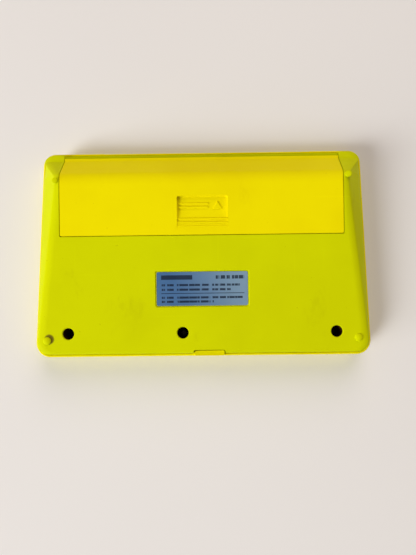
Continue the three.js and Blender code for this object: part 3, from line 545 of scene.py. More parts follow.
def make_rear_case():
    """The wedge shell, with the cover's opening and deck, the cell bay, the wells and the feet."""
    top = PARTING + CLEAR_HEIGHT
    bottom = PARTING + REAR_BASE
    far = 2 * HALF_LENGTH

    def region(margin, low=bottom - 3):
        return prism_mesh(cover_outline(margin, far), low, top)

    deck = store("deck", moved(wedge_mesh(coarse=True), z=-DECK_DROP))
    boolean(deck, region(GAP + OVERLAP, bottom), "INTERSECT")
    cavity = store("cavity", wedge_mesh(WALL, WALL, REAR_BASE - 1.5, coarse=True))
    boolean(cavity, region(GAP + DECK_THICK), "DIFFERENCE")
    low_roof = WALL - DECK_DROP - DECK_THICK
    low_wedge = wedge_mesh(WALL, WALL, REAR_BASE - 1, coarse=True)
    low_cavity = store("low_cavity", moved(low_wedge, z=low_roof))
    boolean(low_cavity, region(GAP + DECK_THICK + OVERLAP), "INTERSECT")

    case = store("rear_case_shell", wedge_mesh())
    boolean(case, region(GAP, PARTING + STRIP_HEIGHT))
    boolean(case, take_mesh(deck), "UNION")
    boolean(case, take_mesh(cavity))
    boolean(case, take_mesh(low_cavity))

    bay_width = 2 * (BAY_HALF_WIDTH + BAY_WALL)
    bay_length = 2 * (BAY_HALF_LENGTH + BAY_WALL)
    added = [prism_mesh(rounded_rectangle(bay_width, bay_length, 0, CELL_Y, 0.6), BAY_BOTTOM, BAY_TOP)]
    for side in (-1, 1):
        added.append(tongue_pocket_mesh(side * TONGUE_X, COVER_FRONT_Y - GAP, -WALL + 2 * OVERLAP))
        added.append(tongue_pocket_mesh(side * TONGUE_X, COVER_FRONT_Y + 3, -DECK_DROP - 0.05))
    for screw in SCREWS:
        middle = node_middle(screw)
        wall_outline = circle(WELL_RADIUS + WELL_WALL, middle.x, middle.y)
        added.append(prism_mesh(wall_outline, WELL_BOTTOM, WELL_TOP))
    for x, y, radius, height in FEET:
        added.append(on_panel(foot_nub_mesh(radius, height), x, y))
    for mesh in added:
        boolean(case, mesh, "UNION")

    bay_outline = rounded_rectangle(2 * BAY_HALF_WIDTH, 2 * BAY_HALF_LENGTH, 0, CELL_Y, 0.8)
    removed = [prism_mesh(bay_outline, BAY_FLOOR, top)]
    for screw in SCREWS:
        middle = node_middle(screw)
        removed.append(prism_mesh(circle(WELL_RADIUS, middle.x, middle.y), WELL_FLOOR, top))
        shank_outline = circle(PILOT_RADIUS, middle.x, middle.y, 24)
        removed.append(prism_mesh(shank_outline, WELL_BOTTOM - 1, WELL_FLOOR + 1))
        lip = flared_pocket(lambda grow: circle(WELL_RADIUS + grow), 0.5, 0.28)
        removed.append(on_panel(lip, middle.x, middle.y))
    removed.append(on_panel(flared_pocket(label_pocket_outline, LABEL_POCKET, 0.3), 0, LABEL_Y))
    for side in (-1, 1):
        slot_y = (TONGUE_ROOT - TONGUE_REACH) / 2
        slot_outline = rounded_rectangle(TONGUE_WIDTH + 1, TONGUE_REACH + TONGUE_ROOT, 0, slot_y, 0.3)
        slot_mesh = prism_mesh(slot_outline, TONGUE_TOP - TONGUE_THICK - GAP, TONGUE_TOP + GAP)
        removed.append(on_panel(slot_mesh, side * TONGUE_X, COVER_FRONT_Y - GAP))
    notch_y = NOTCH_Y - NOTCH_LENGTH / 2
    notch_outline = rounded_rectangle(NOTCH_WIDTH, NOTCH_LENGTH, NOTCH_X, notch_y, NOTCH_CORNER)
    removed.append(prism_mesh(notch_outline, bottom - 1, top))
    for mesh in removed:
        boolean(case, mesh)

    def opening_edge(a, b, edge):
        high = min(a.z, b.z) > PARTING + 2
        near_skin = all(abs(p.z - PARTING - surface_height(p)) < 0.3 for p in (a, b))
        return high and near_skin and near_cover_outline(a, GAP) and near_cover_outline(b, GAP)

    round_edges(case, opening_edge, 0.22)
    return case


def surface_height(point):
    """Height of the outer form above the seam, near the panel or the rounded side edge."""
    roof = roof_height(point.y)
    crease = flank_half_width(roof - ROLL_DROP)
    into = max(abs(point.x) - (crease - ROLL_RADIUS * math.sin(ROLL_ANGLE)), 0)
    return roof - ROLL_RADIUS + math.sqrt(max(ROLL_RADIUS ** 2 - into ** 2, 0))


def take_mesh(piece):
    """The bmesh of a scratch object, in millimetres, removing the object."""
    mesh = bmesh.new()
    mesh.from_mesh(piece.data)
    bmesh.ops.scale(mesh, vec=(1 / MM, 1 / MM, 1 / MM), verts=mesh.verts)
    data = piece.data
    bpy.data.objects.remove(piece)
    bpy.data.meshes.remove(data)
    return mesh


# ---- Battery cover ----


def recess_mesh():
    """Cutter of the thumb recess, lying along the panel, from sections at its left wall to its right."""
    length = RECESS_TOP_Y - RECESS_FOOT_Y
    half = RECESS_WIDTH / 2
    ramp = length - RECESS_DEEP_RUN
    corner = 0.7
    fillet = 0.3
    rings = []
    for step in range(-6, 7):
        turn = math.pi / 2 * (1 - min(abs(step) - 1, 5) / 5) if step else math.pi / 2
        x = math.copysign(half - corner + corner * math.cos(turn), step) if step else 0
        inset = corner * (1 - math.sin(turn))
        near, far = inset, length - inset
        section = [(near, 1.5), (near, -RECESS_DEPTH * near / ramp), (ramp, -RECESS_DEPTH),
                   (far - fillet, -RECESS_DEPTH)]
        for part in range(1, 5):
            angle = math.pi / 2 * part / 4
            section.append((far - fillet + fillet * math.sin(angle),
                            -RECESS_DEPTH + fillet * (1 - math.cos(angle))))
        section += [(far, -0.2), (far + 0.2, 0.01), (far + 0.2, 1.5)]
        rings.append([(x, y, z) for y, z in section])
    mesh = rings_mesh(rings)
    bmesh.ops.recalc_face_normals(mesh, faces=mesh.faces)
    return mesh


def make_battery_cover():
    top = PARTING + CLEAR_HEIGHT
    cover = store("battery_cover_shell", wedge_mesh())
    boolean(cover, moved(wedge_mesh(coarse=True), z=-COVER_THICK))
    boolean(cover, prism_mesh(cover_outline(0, COVER_END_Y), PARTING - 3, top), "INTERSECT")

    def top_edge(a, b, edge):
        up = max(face.normal.z for face in edge.link_faces) > 0.5
        side = min(abs(face.normal.z) for face in edge.link_faces) < 0.1
        on_top = all(p.z - PARTING > surface_height(p) - 0.2 for p in (a, b))
        return up and side and on_top

    round_edges(cover, top_edge, 0.38)
    length = RECESS_TOP_Y - RECESS_FOOT_Y
    for side in (-1, 1):
        middle_y = (TONGUE_ROOT - TONGUE_REACH) / 2
        tongue_outline = rounded_rectangle(TONGUE_WIDTH, TONGUE_REACH + TONGUE_ROOT, 0, middle_y, 0.4)
        tongue = prism_mesh(tongue_outline, TONGUE_TOP - TONGUE_THICK, TONGUE_TOP)
        boolean(cover, on_panel(tongue, side * TONGUE_X, COVER_FRONT_Y), "UNION")
    boolean(cover, on_panel(recess_mesh(), RECESS_X, RECESS_FOOT_Y))
    ramp = RECESS_DEPTH / (length - RECESS_DEEP_RUN)
    for y in GRIP_RIB_Y:
        floor = -ramp * (y - RECESS_FOOT_Y)
        rib = grip_rib_mesh(RECESS_WIDTH - 0.3, 0.62, floor - 0.4, min(floor + MARK_HEIGHT, 0.02))
        boolean(cover, on_panel(rib, RECESS_X, y), "UNION")
    arrow = [
        (ARROW_X - ARROW_WIDTH / 2, ARROW_Y[0]),
        (ARROW_X + ARROW_WIDTH / 2, ARROW_Y[0]),
        (ARROW_X, ARROW_Y[1]),
    ]
    bars = [rounded_rectangle(MARK_BAR_WIDTH, MARK_BAR_ACROSS, MARK_BAR_X, y, 0.3) for y in MARK_BAR_Y]
    for number, outline in enumerate([arrow, *bars]):
        middle_y = sum(y for x, y in outline) / len(outline)
        centred = [(x, y - middle_y) for x, y in outline]
        low, high = -RECESS_DEPTH - 0.3, -RECESS_DEPTH + MARK_HEIGHT
        mark = bevelled_mark(f"raised_mark_{number}", centred, low, high, 0.13)
        boolean(cover, on_panel(take_mesh(mark), 0, middle_y), "UNION")
    return cover


def grip_rib_mesh(width, across, low, high):
    """A bar along X with a rounded crest."""
    steps = 8
    section = [(-across / 2, low), (across / 2, low)]
    shoulder = high - across / 2
    for step in range(steps + 1):
        angle = math.pi * step / steps
        section.append((across / 2 * math.cos(angle), shoulder + across / 2 * math.sin(angle)))
    rings = [[(x, y, z) for y, z in section] for x in (-width / 2, width / 2)]
    mesh = rings_mesh(rings)
    bmesh.ops.recalc_face_normals(mesh, faces=mesh.faces)
    return mesh


def bevelled_mark(name, outline, low, high, bevel):
    """A raised mark with softened top edges."""
    piece = store(name, prism_mesh(outline, low, high))
    round_edges(piece, lambda a, b, edge: min(a.z, b.z) > high - 0.01, bevel, 2)
    return piece


# ---- Front case ----


def front_outline(inset):
    half_width = HALF_WIDTH - inset
    half_length = HALF_LENGTH - inset
    return rounded_outline(half_width, half_length, LOWER_CORNER - inset, UPPER_CORNER - inset)


def front_ring(inset, z):
    return [(x, y, z) for x, y in front_outline(inset)]


def key_outline(middle, margin):
    width = KEY_WIDTH + 2 * margin
    length = KEY_LENGTH + 2 * margin
    return rounded_rectangle(width, length, middle.x, middle.y, 1 + margin, 8)


def button_outline(name, margin):
    middle = node_middle(name)
    if name in ROUND_BUTTONS:
        return circle(ROUND_BUTTONS[name] + margin, middle.x, middle.y, 64)
    return key_outline(middle, margin)


def snap_tab_mesh(root):
    """The tab that stands in the notch of the rear case, its top narrowed a little."""
    tab_y = -HALF_LENGTH + TAB_INSET + TAB_THICK / 2
    outline = rounded_rectangle(NOTCH_WIDTH - 2 * GAP, TAB_THICK, NOTCH_X, tab_y, 0.5)
    levels = [(root, 1), (PARTING + TAB_HEIGHT - 0.25, 1), (PARTING + TAB_HEIGHT, TAB_NARROWING)]
    return rings_mesh([[(NOTCH_X + (x - NOTCH_X) * share, y, z) for x, y in outline] for z, share in levels])


def make_front_case():
    """The tray that carries the face: rounded outside, a ledge for the rear case, holes for controls."""
    rings = []
    for step in range(7):
        angle = math.pi / 2 * step / 6
        inset = FOOT_EDGE_RUN * (1 - math.sin(angle))
        rings.append(front_ring(inset, FOOT_EDGE_RISE * (1 - math.cos(angle))))
    rings.append(front_ring(0, PARTING - RIM_EDGE_RISE))
    for step in range(1, 5):
        angle = math.pi / 2 * step / 4
        inset = RIM_EDGE_RUN * (1 - math.cos(angle))
        rings.append(front_ring(inset, PARTING - RIM_EDGE_RISE * (1 - math.sin(angle))))
    case = store("front_case_shell", rings_mesh(rings))
    face_outline = rounded_outline(HALF_WIDTH - FACE_RIM, HALF_LENGTH - FACE_RIM, FACE_CORNER, FACE_CORNER)
    relief_y = HALF_LENGTH + 1 - RELIEF_DEPTH
    relief_outline = rounded_rectangle(RELIEF_WIDTH, 2, RELIEF_X, relief_y, 0.2)
    cuts = [
        prism_mesh(front_outline(WALL), FACE_INSIDE, PARTING + 1),
        prism_mesh(front_outline(RIM), PARTING - SEAM_DEPTH, PARTING + 1),
        prism_mesh(front_outline(LEDGE_INSET), PARTING - LEDGE_DROP, PARTING),
        prism_mesh(face_outline, -1, FACE_RECESS),
        prism_mesh(rounded_rectangle(WINDOW_WIDTH, WINDOW_LENGTH, 0, LCD_Y, 1.5), 0, FACE_INSIDE + 1),
        prism_mesh(relief_outline, RELIEF_BOTTOM, PARTING + 1),
    ]
    for name in (*ROUND_BUTTONS, *KEYS):
        cuts.append(prism_mesh(button_outline(name, GAP), 0, FACE_INSIDE + 1))
    for mesh in cuts:
        boolean(case, mesh)
    root = FACE_INSIDE - 0.5
    for screw in SCREWS:
        middle = node_middle(screw)
        post = prism_mesh(circle(SCREW_POST_RADIUS, middle.x, middle.y), root, WELL_BOTTOM - GAP)
        boolean(case, post, "UNION")
    boolean(case, snap_tab_mesh(root), "UNION")

    def face_edge(a, b, edge):
        return max(a.z, b.z) < 0.05 and max(abs(a.x), abs(b.x)) < HALF_WIDTH - 2

    round_edges(case, face_edge, 0.3)
    return case


# ---- Controls, cells and screws ----


def make_round_button(name):
    """A domed cap with a flange that keeps it behind the face, and a short stem."""
    low, high = node_box(name)
    radius = ROUND_BUTTONS[name]
    edge_run = 0.6
    edge_rise = 0.45
    profile = [(0, low.z)]
    for step in range(8):
        angle = math.pi / 2 * step / 7
        height = low.z + edge_rise * (1 - math.cos(angle)) + 0.001
        profile.append((radius - edge_run + edge_run * math.sin(angle), height))
    flange_top = FLANGE_BOTTOM + FLANGE_THICK
    profile += [
        (radius, FLANGE_BOTTOM), (radius + 0.9, FLANGE_BOTTOM), (radius + 1, FLANGE_BOTTOM + 0.1),
        (radius + 1, flange_top - 0.1), (radius + 0.9, flange_top), (STEM_RADIUS, flange_top),
        (STEM_RADIUS, high.z - 0.1), (STEM_RADIUS - 0.1, high.z), (0, high.z),
    ]
    middle = node_middle(name)
    return store(name + "_cap", moved(lathe_mesh(profile, 72), middle.x, middle.y))


def make_key(name):
    """A small rubber key with rounded edges, its flange and its stem."""
    low, high = node_box(name)
    middle = node_middle(name)
    flange_top = FLANGE_BOTTOM + FLANGE_THICK
    levels = [(low.z, -0.45), (low.z + 0.06, -0.25), (low.z + 0.18, -0.1), (low.z + 0.4, 0)]
    levels.append((FLANGE_BOTTOM + OVERLAP, 0))
    rings = [[(x, y, z) for x, y in key_outline(middle, grow)] for z, grow in levels]
    key = store(name + "_cap", rings_mesh(rings))
    boolean(key, prism_mesh(key_outline(middle, 1), FLANGE_BOTTOM, flange_top), "UNION")
    stem = prism_mesh(circle(STEM_RADIUS, middle.x, middle.y, 32), flange_top - 0.1, high.z)
    boolean(key, stem, "UNION")
    return key


def make_cell(name):
    """An AA cell: sleeve with shrunk ends, crimped shoulder and a raised cap at the plus end."""
    low, high = node_box(name)
    half = (high.x - low.x) / 2
    can = half - CELL_NUB
    minus_end = [
        (0, -half), (4.4, -half), (4.8, -half + 0.15), (6.3, -half + 0.15), (6.75, -half + 0.35),
        (7.05, -half + 0.8), (CELL_RADIUS, -half + 1.4),
    ]
    shoulder = [
        (CELL_RADIUS, can - 1.1), (7.0, can - 0.6), (6.7, can - 0.2), (6.2, can), (5.6, can - 0.15),
        (4.6, can - 0.2), (3.4, can),
    ]
    plus_cap = [
        (CELL_NUB_RADIUS, can + 0.05), (CELL_NUB_RADIUS, half - 0.35), (2.6, half - 0.1),
        (2.3, half), (0, half),
    ]
    profile = minus_end + shoulder + plus_cap
    mesh = lathe_mesh(profile, 64)
    bmesh.ops.rotate(mesh, cent=(0, 0, 0), matrix=Matrix.Rotation(math.pi / 2, 3, "Y"), verts=mesh.verts)
    middle = (low + high) / 2
    return store(name + "_cell", moved(mesh, middle.x, middle.y, middle.z))


def make_screw(name):
    """A pan head screw with a cross recess, and a threaded shank."""
    low, high = node_box(name)
    middle = node_middle(name)
    radius = (high.x - low.x) / 2
    seat = WELL_FLOOR + GAP
    profile = [(0, low.z), (0.35, low.z + 0.1)]
    height = low.z + 0.9
    while height < seat - 0.5:
        profile += [(THREAD_ROOT, height), (THREAD_CREST, height + THREAD_PITCH / 2)]
        height += THREAD_PITCH
    profile += [(0.9, seat - 0.1), (0.9, seat), (radius - 0.1, seat), (radius, seat + 0.12)]
    rise = high.z - seat
    for step in range(1, 8):
        angle = math.pi / 2 * step / 8
        profile.append((radius * math.cos(angle) ** 0.6, seat + 0.12 + (rise - 0.12) * math.sin(angle)))
    profile.append((0, high.z))
    screw = store(name + "_turned", moved(lathe_mesh(profile, 40), middle.x, middle.y))
    for across, along in ((SLOT_LENGTH, SLOT_WIDTH), (SLOT_WIDTH, SLOT_LENGTH)):
        slot = rounded_rectangle(across, along, middle.x, middle.y, 0.2)
        boolean(screw, prism_mesh(slot, high.z - SLOT_DEPTH, high.z + 1))
    return screw


# ---- Materials ----


class Shader:
    """A small helper to wire a node material."""

    def __init__(self, name):
        self.material = bpy.data.materials.new(name)
        self.material.use_nodes = True
        self.tree = self.material.node_tree
        self.shader = self.tree.nodes["Principled BSDF"]
        self.place = self.node("ShaderNodeTexCoord").outputs["Object"]

    def node(self, kind, **settings):
        made = self.tree.nodes.new(kind)
        for name, value in settings.items():
            setattr(made, name, value)
        return made

    def link(self, output, socket):
        self.tree.links.new(output, socket)

    def set(self, **values):
        for name, value in values.items():
            self.shader.inputs[name.replace("_", " ")].default_value = value

    def noise(self, scale, detail=3, roughness=0.5, stretch=None):
        texture = self.node("ShaderNodeTexNoise")
        texture.inputs["Scale"].default_value = scale
        texture.inputs["Detail"].default_value = detail
        texture.inputs["Roughness"].default_value = roughness
        source = self.place
        if stretch:
            mapping = self.node("ShaderNodeMapping")
            mapping.inputs["Scale"].default_value = stretch[:3]
            mapping.inputs["Rotation"].default_value = (0, 0, math.radians(stretch[3]))
            self.link(source, mapping.inputs["Vector"])
            source = mapping.outputs["Vector"]
        self.link(source, texture.inputs["Vector"])
        return texture.outputs["Fac"]

    def ramp(self, value, low, high, low_out=0.0, high_out=1.0):
        mapped = self.node("ShaderNodeMapRange")
        mapped.interpolation_type = "SMOOTHSTEP"
        limits = (("From Min", low), ("From Max", high), ("To Min", low_out), ("To Max", high_out))
        for name, number in limits:
            mapped.inputs[name].default_value = number
        self.link(value, mapped.inputs["Value"])
        return mapped.outputs["Result"]

    def math(self, operation, a, b=None):
        made = self.node("ShaderNodeMath", operation=operation)
        for socket, value in zip(made.inputs, (a, b)):
            if value is None:
                continue
            if isinstance(value, (int, float)):
                socket.default_value = value
            else:
                self.link(value, socket)
        return made.outputs["Value"]

    def mix(self, factor, a, b):
        made = self.node("ShaderNodeMix", data_type="RGBA")
        for name, kind, value in (("Factor", "VALUE", factor), ("A", "RGBA", a), ("B", "RGBA", b)):
            socket = next(s for s in made.inputs if s.name == name and s.type == kind)
            if isinstance(value, (int, float, tuple)):
                socket.default_value = value
            else:
                self.link(value, socket)
        return next(s for s in made.outputs if s.type == "RGBA")

    def bump(self, height, strength, distance, normal=None):
        made = self.node("ShaderNodeBump")
        made.inputs["Strength"].default_value = strength
        made.inputs["Distance"].default_value = distance
        self.link(height, made.inputs["Height"])
        if normal is not None:
            self.link(normal, made.inputs["Normal"])
        return made.outputs["Normal"]

    def axis(self, letter):
        split = self.node("ShaderNodeSeparateXYZ")
        self.link(self.place, split.inputs["Vector"])
        return split.outputs[letter]


def colour(red, green, blue):
    """Linear colour of an 8-bit sRGB colour."""
    def linear(value):
        value /= 255
        return value / 12.92 if value <= 0.04045 else ((value + 0.055) / 1.055) ** 2.4
    return (linear(red), linear(green), linear(blue), 1)


def spot_distance(s, x, y):
    """Distance across the panel from the line at x, y, in metres."""
    across = s.math("SUBTRACT", s.axis("X"), x * MM)
    along = s.math("SUBTRACT", s.axis("Y"), y * MM)
    square = s.math("ADD", s.math("MULTIPLY", across, across), s.math("MULTIPLY", along, along))
    return s.math("SQRT", square, 0.0)


def paint_well_and_foot_shade(s, tone):
    """Painted shade near-black down the screw wells, and a painted brown shadow crescent beside one foot."""
    nearest = None
    for screw in SCREWS:
        middle = node_middle(screw)
        distance = spot_distance(s, middle.x, middle.y)
        nearest = distance if nearest is None else s.math("MINIMUM", nearest, distance)
    level = s.math("MULTIPLY_ADD", s.axis("Y"), PANEL_RISE)
    level.node.inputs[2].default_value = (PARTING + PANEL_MID) * MM
    depth = s.math("SUBTRACT", level, s.axis("Z"))
    # Painted shade: well walls deeper than about 0.3 mm below the panel turn near-black, where shade falls.
    well_shade = s.math("MULTIPLY", s.ramp(nearest, 0.0029, 0.0031, 1, 0), s.ramp(depth, 0.0003, 0.0008))
    tone = s.mix(well_shade, tone, (0.05, 0.02, 0.004, 1))
    # Painted shadow: a brown crescent just outside the lower left foot, offset up and right where its shadow
    # falls.
    x, y, radius = FEET[0][:3]
    ring = s.ramp(spot_distance(s, x, y), (radius - 0.15) * MM, radius * MM)
    patch = s.ramp(spot_distance(s, x + 0.75, y + 0.6), 1.5 * MM, 2.3 * MM, 0.9, 0)
    return s.mix(s.math("MULTIPLY", ring, patch), tone, (0.13, 0.09, 0.012, 1))


def moulded_plastic(name, base, shade_tone, dirt, roughness=0.4, scuffs=1.0, with_painted_shade=False):
    """Old moulded plastic: fine grain, uneven tone, rubbed streaks, specks of dirt and hair scratches."""
    s = Shader(name)
    cloud = s.noise(28, 4, 0.55)
    tone = s.mix(s.ramp(cloud, 0.35, 0.7), base, shade_tone)
    smudge = s.ramp(s.noise(75, 5, 0.65, stretch=(1, 0.5, 1, 28)), 0.58, 0.78, 0, 0.35 * scuffs)
    tone = s.mix(smudge, tone, dirt)
    speck = s.ramp(s.noise(900, 2, 0.5), 0.74, 0.8, 0, 0.4)
    tone = s.mix(speck, tone, dirt)
    scratch_a = s.ramp(s.noise(60, 2, 0.4, stretch=(0.25, 9, 1, 24)), 0.69, 0.75, 0, 0.3 * scuffs)
    scratch_b = s.ramp(s.noise(60, 2, 0.4, stretch=(9, 0.3, 1, 12)), 0.70, 0.76, 0, 0.25 * scuffs)
    scratches = s.math("MAXIMUM", scratch_a, scratch_b)
    tone = s.mix(scratches, tone, tuple(min(1, c * 1.15) for c in base[:3]) + (1,))
    # Optionally painted shade in the screw wells and a painted shadow beside one foot.
    if with_painted_shade:
        tone = paint_well_and_foot_shade(s, tone)
    s.link(tone, s.shader.inputs["Base Color"])
    rough = s.ramp(cloud, 0.2, 0.8, roughness - 0.06, roughness + 0.08)
    rough = s.math("ADD", rough, s.math("MULTIPLY", scratches, 0.3))
    s.link(rough, s.shader.inputs["Roughness"])
    grain = s.noise(2600, 2, 0.5)
    normal = s.bump(grain, 0.12, 0.00006)
    normal = s.bump(scratches, 0.25, 0.00004, normal)
    normal = s.bump(s.noise(35, 2, 0.4), 0.15, 0.0004, normal)
    s.link(normal, s.shader.inputs["Normal"])
    s.set(Specular_IOR_Level=0.015, IOR=1.5, Specular_Tint=(1, 0.95, 0.2, 1))
    return s.material


def brushed_metal(name, base, roughness=0.32, stretch=(40, 1, 1, 0)):
    s = Shader(name)
    streaks = s.noise(120, 3, 0.6, stretch=stretch)
    tone = s.mix(s.ramp(streaks, 0.3, 0.7), base, tuple(c * 0.7 for c in base[:3]) + (1,))
    s.link(tone, s.shader.inputs["Base Color"])
    s.link(s.ramp(streaks, 0.3, 0.7, roughness - 0.08, roughness + 0.12), s.shader.inputs["Roughness"])
    s.link(s.bump(streaks, 0.15, 0.00003), s.shader.inputs["Normal"])
    s.set(Metallic=1.0)
    return s.material


def grained(name, base, dark, roughness, scale=700, strength=0.2, metallic=0.0):
    """Rubber, laminate, film or sleeve: a mottled tone and a fine bump."""
    s = Shader(name)
    mottle = s.noise(scale, 4, 0.6)
    broad = s.noise(scale / 12, 3, 0.5)
    tone = s.mix(s.ramp(mottle, 0.35, 0.7), base, dark)
    tone = s.mix(s.ramp(broad, 0.4, 0.75, 0, 0.5), tone, dark)
    s.link(tone, s.shader.inputs["Base Color"])
    s.link(s.ramp(broad, 0.3, 0.7, roughness - 0.05, roughness + 0.1), s.shader.inputs["Roughness"])
    s.link(s.bump(mottle, strength, 0.00005), s.shader.inputs["Normal"])
    s.set(Metallic=metallic)
    return s.material


# Generic print on the label: plain blocks, dashed rows and a rule. x from, x to, y, height, dashed.
LABEL_BARS = (
    (-16.2, -3.9, 4.5, 1.7, False), (5.4, 16.7, 4.5, 1.3, True), (-16.2, 14.8, 1.5, 0.8, True),
    (-16.2, 11.2, -0.3, 0.8, True), (-16.2, 16.6, -1.75, 0.22, False), (-16.2, 15.9, -3.4, 0.8, True),
    (-16.2, 4.5, -5.0, 0.8, True),
)


def bar_mask(s, x0, x1, y, across):
    """One inside an upright rectangle on the panel, nought outside."""
    soft = 0.05
    edges = (
        s.ramp(s.axis("X"), (x0 - soft) * MM, x0 * MM),
        s.ramp(s.axis("X"), x1 * MM, (x1 + soft) * MM, 1, 0),
        s.ramp(s.axis("Y"), (y - across / 2 - soft) * MM, (y - across / 2) * MM),
        s.ramp(s.axis("Y"), (y + across / 2) * MM, (y + across / 2 + soft) * MM, 1, 0),
    )
    mask = edges[0]
    for part in edges[1:]:
        mask = s.math("MULTIPLY", mask, part)
    return mask


def label_foil(name):
    """Satin foil with a painted slanting blue-grey sheen and fine brushing."""
    s = Shader(name)
    # Painted sheen: the base colour runs from dark to pale blue-grey on a slant across the foil.
    across = s.ramp(s.math("ADD", s.axis("X"), s.math("MULTIPLY", s.axis("Y"), 0.35)), -0.02, 0.016)
    tone = s.mix(across, colour(78, 124, 178), colour(150, 186, 214))
    cloud = s.noise(90, 4, 0.6)
    tone = s.mix(s.ramp(cloud, 0.4, 0.8, 0, 0.4), tone, colour(90, 128, 168))
    stripes = s.ramp(s.noise(1500, 1, 0.5, stretch=(1, 0.02, 0.02, 0)), 0.4, 0.47)
    for x0, x1, y, across, broken in LABEL_BARS:
        bar = bar_mask(s, x0, x1, LABEL_Y + y, across)
        if broken:
            bar = s.math("MULTIPLY", bar, stripes)
        tone = s.mix(s.math("MULTIPLY", bar, 0.86), tone, colour(16, 28, 52))
    s.link(tone, s.shader.inputs["Base Color"])
    s.link(s.ramp(cloud, 0.3, 0.7, 0.38, 0.5), s.shader.inputs["Roughness"])
    s.link(s.bump(s.noise(1400, 2, 0.5, stretch=(12, 1, 1, 0)), 0.2, 0.00002), s.shader.inputs["Normal"])
    s.set(Metallic=0.55)
    return s.material


def plain_floor(name):
    s = Shader(name)
    tone = s.mix(s.ramp(s.noise(3, 2, 0.5), 0.3, 0.7), (0.80, 0.80, 0.79, 1), (0.83, 0.83, 0.82, 1))
    s.link(tone, s.shader.inputs["Base Color"])
    s.set(Roughness=0.85)
    return s.material


LEMON = moulded_plastic(
    "lemon_plastic",
    base=(0.655, 0.72, 0.001, 1),
    shade_tone=(0.615, 0.67, 0.001, 1),
    dirt=(0.3, 0.26, 0.004, 1),
    roughness=0.42,
    scuffs=0.6,
    # The rear case plastic carries painted shade in the screw wells and a painted shadow beside one foot.
    with_painted_shade=True,
)
COVER = moulded_plastic(
    "cover_plastic",
    base=(0.9, 0.8, 0.001, 1),
    shade_tone=(0.86, 0.75, 0.001, 1),
    dirt=(0.5, 0.34, 0.004, 1),
    roughness=0.42,
    scuffs=0.4,
)
FRONT = moulded_plastic(
    "front_plastic",
    base=(0.92, 0.83, 0.001, 1),
    shade_tone=(0.87, 0.76, 0.001, 1),
    dirt=(0.34, 0.18, 0.004, 1),
    roughness=0.4,
    scuffs=0.7,
)
FOIL = label_foil("label_foil")
STEEL = brushed_metal("plated_steel", colour(190, 190, 188))
DARK_STEEL = brushed_metal("blackened_steel", colour(52, 50, 48), 0.4)
BRASS = brushed_metal("brass_sheet", colour(214, 176, 92), 0.3)
BLACK = grained("black_plastic", colour(26, 26, 28), colour(16, 16, 18), 0.5, 1200, 0.15)
EPOXY = grained("black_epoxy", colour(20, 20, 22), colour(12, 12, 13), 0.22, 300, 0.05)
GREY_RUBBER = grained("grey_rubber", colour(124, 126, 128), colour(104, 106, 108), 0.7, 900, 0.3)
ELASTOMER = grained("striped_elastomer", colour(40, 40, 42), colour(20, 20, 20), 0.75, 2400, 0.4)
LAMINATE = grained("board_laminate", colour(150, 108, 50), colour(122, 84, 34), 0.55, 1600, 0.2)
FILM = grained("reflector_film", colour(206, 208, 204), colour(180, 184, 180), 0.4, 1500, 0.1, 0.7)
RED_SLEEVE = grained("red_sleeve", colour(190, 34, 30), colour(160, 24, 22), 0.45, 800, 0.1)
BLACK_SLEEVE = grained("black_sleeve", colour(34, 34, 36), colour(20, 20, 22), 0.45, 800, 0.1)
RED_PLASTIC = grained("red_plastic", colour(206, 52, 34), colour(184, 40, 26), 0.3, 500, 0.08)
PLATE = grained("plate_print", colour(34, 52, 96), colour(26, 42, 80), 0.35, 700, 0.08, 0.2)


def cell_sleeve(name):
    """Printed sleeve with a pale band round the plus end, and bare metal at both ends of each cell."""
    s = Shader(name)
    mottle = s.noise(400, 4, 0.6)
    tone = s.mix(s.ramp(mottle, 0.35, 0.7), colour(40, 88, 160), colour(30, 70, 132))
    metal = None
    for cell in ("battery_left", "battery_right"):
        low, high = node_box(cell)
        band = s.math("MULTIPLY", s.ramp(s.axis("X"), (high.x - 15) * MM, (high.x - 14.9) * MM),
                      s.ramp(s.axis("X"), (high.x + 0.1) * MM, (high.x + 0.2) * MM, 1, 0))
        tone = s.mix(band, tone, colour(206, 206, 200))
        plus = s.math("MULTIPLY", s.ramp(s.axis("X"), (high.x - 1.5) * MM, (high.x - 1.4) * MM),
                      s.ramp(s.axis("X"), (high.x + 0.1) * MM, (high.x + 0.2) * MM, 1, 0))
        minus = s.math("MULTIPLY", s.ramp(s.axis("X"), (low.x - 0.2) * MM, (low.x - 0.1) * MM),
                       s.ramp(s.axis("X"), (low.x + 0.25) * MM, (low.x + 0.35) * MM, 1, 0))
        ends = s.math("ADD", plus, minus)
        metal = ends if metal is None else s.math("MAXIMUM", metal, ends)
    tone = s.mix(metal, tone, colour(186, 184, 178))
    s.link(tone, s.shader.inputs["Base Color"])
    s.link(metal, s.shader.inputs["Metallic"])
    s.link(s.ramp(mottle, 0.3, 0.7, 0.28, 0.4), s.shader.inputs["Roughness"])
    s.link(s.bump(mottle, 0.06, 0.00005), s.shader.inputs["Normal"])
    return s.material


CELL = cell_sleeve("cell_sleeve")
TAN = grained("resistor_body", colour(204, 172, 128), colour(186, 150, 104), 0.35, 500, 0.08)


def clear_material(name, tint, roughness, transmission):
    s = Shader(name)
    haze = s.noise(60, 3, 0.5)
    s.link(s.mix(s.ramp(haze, 0.3, 0.8), tint, tuple(c * 0.94 for c in tint[:3]) + (1,)),
           s.shader.inputs["Base Color"])
    s.link(s.ramp(haze, 0.3, 0.8, roughness, roughness + 0.05), s.shader.inputs["Roughness"])
    s.set(Transmission_Weight=transmission, IOR=1.49)
    return s.material


CLEAR = clear_material("clear_acrylic", (0.95, 0.97, 0.97, 1), 0.03, 1.0)
GLASS = clear_material("display_glass", colour(168, 176, 150), 0.08, 0.35)

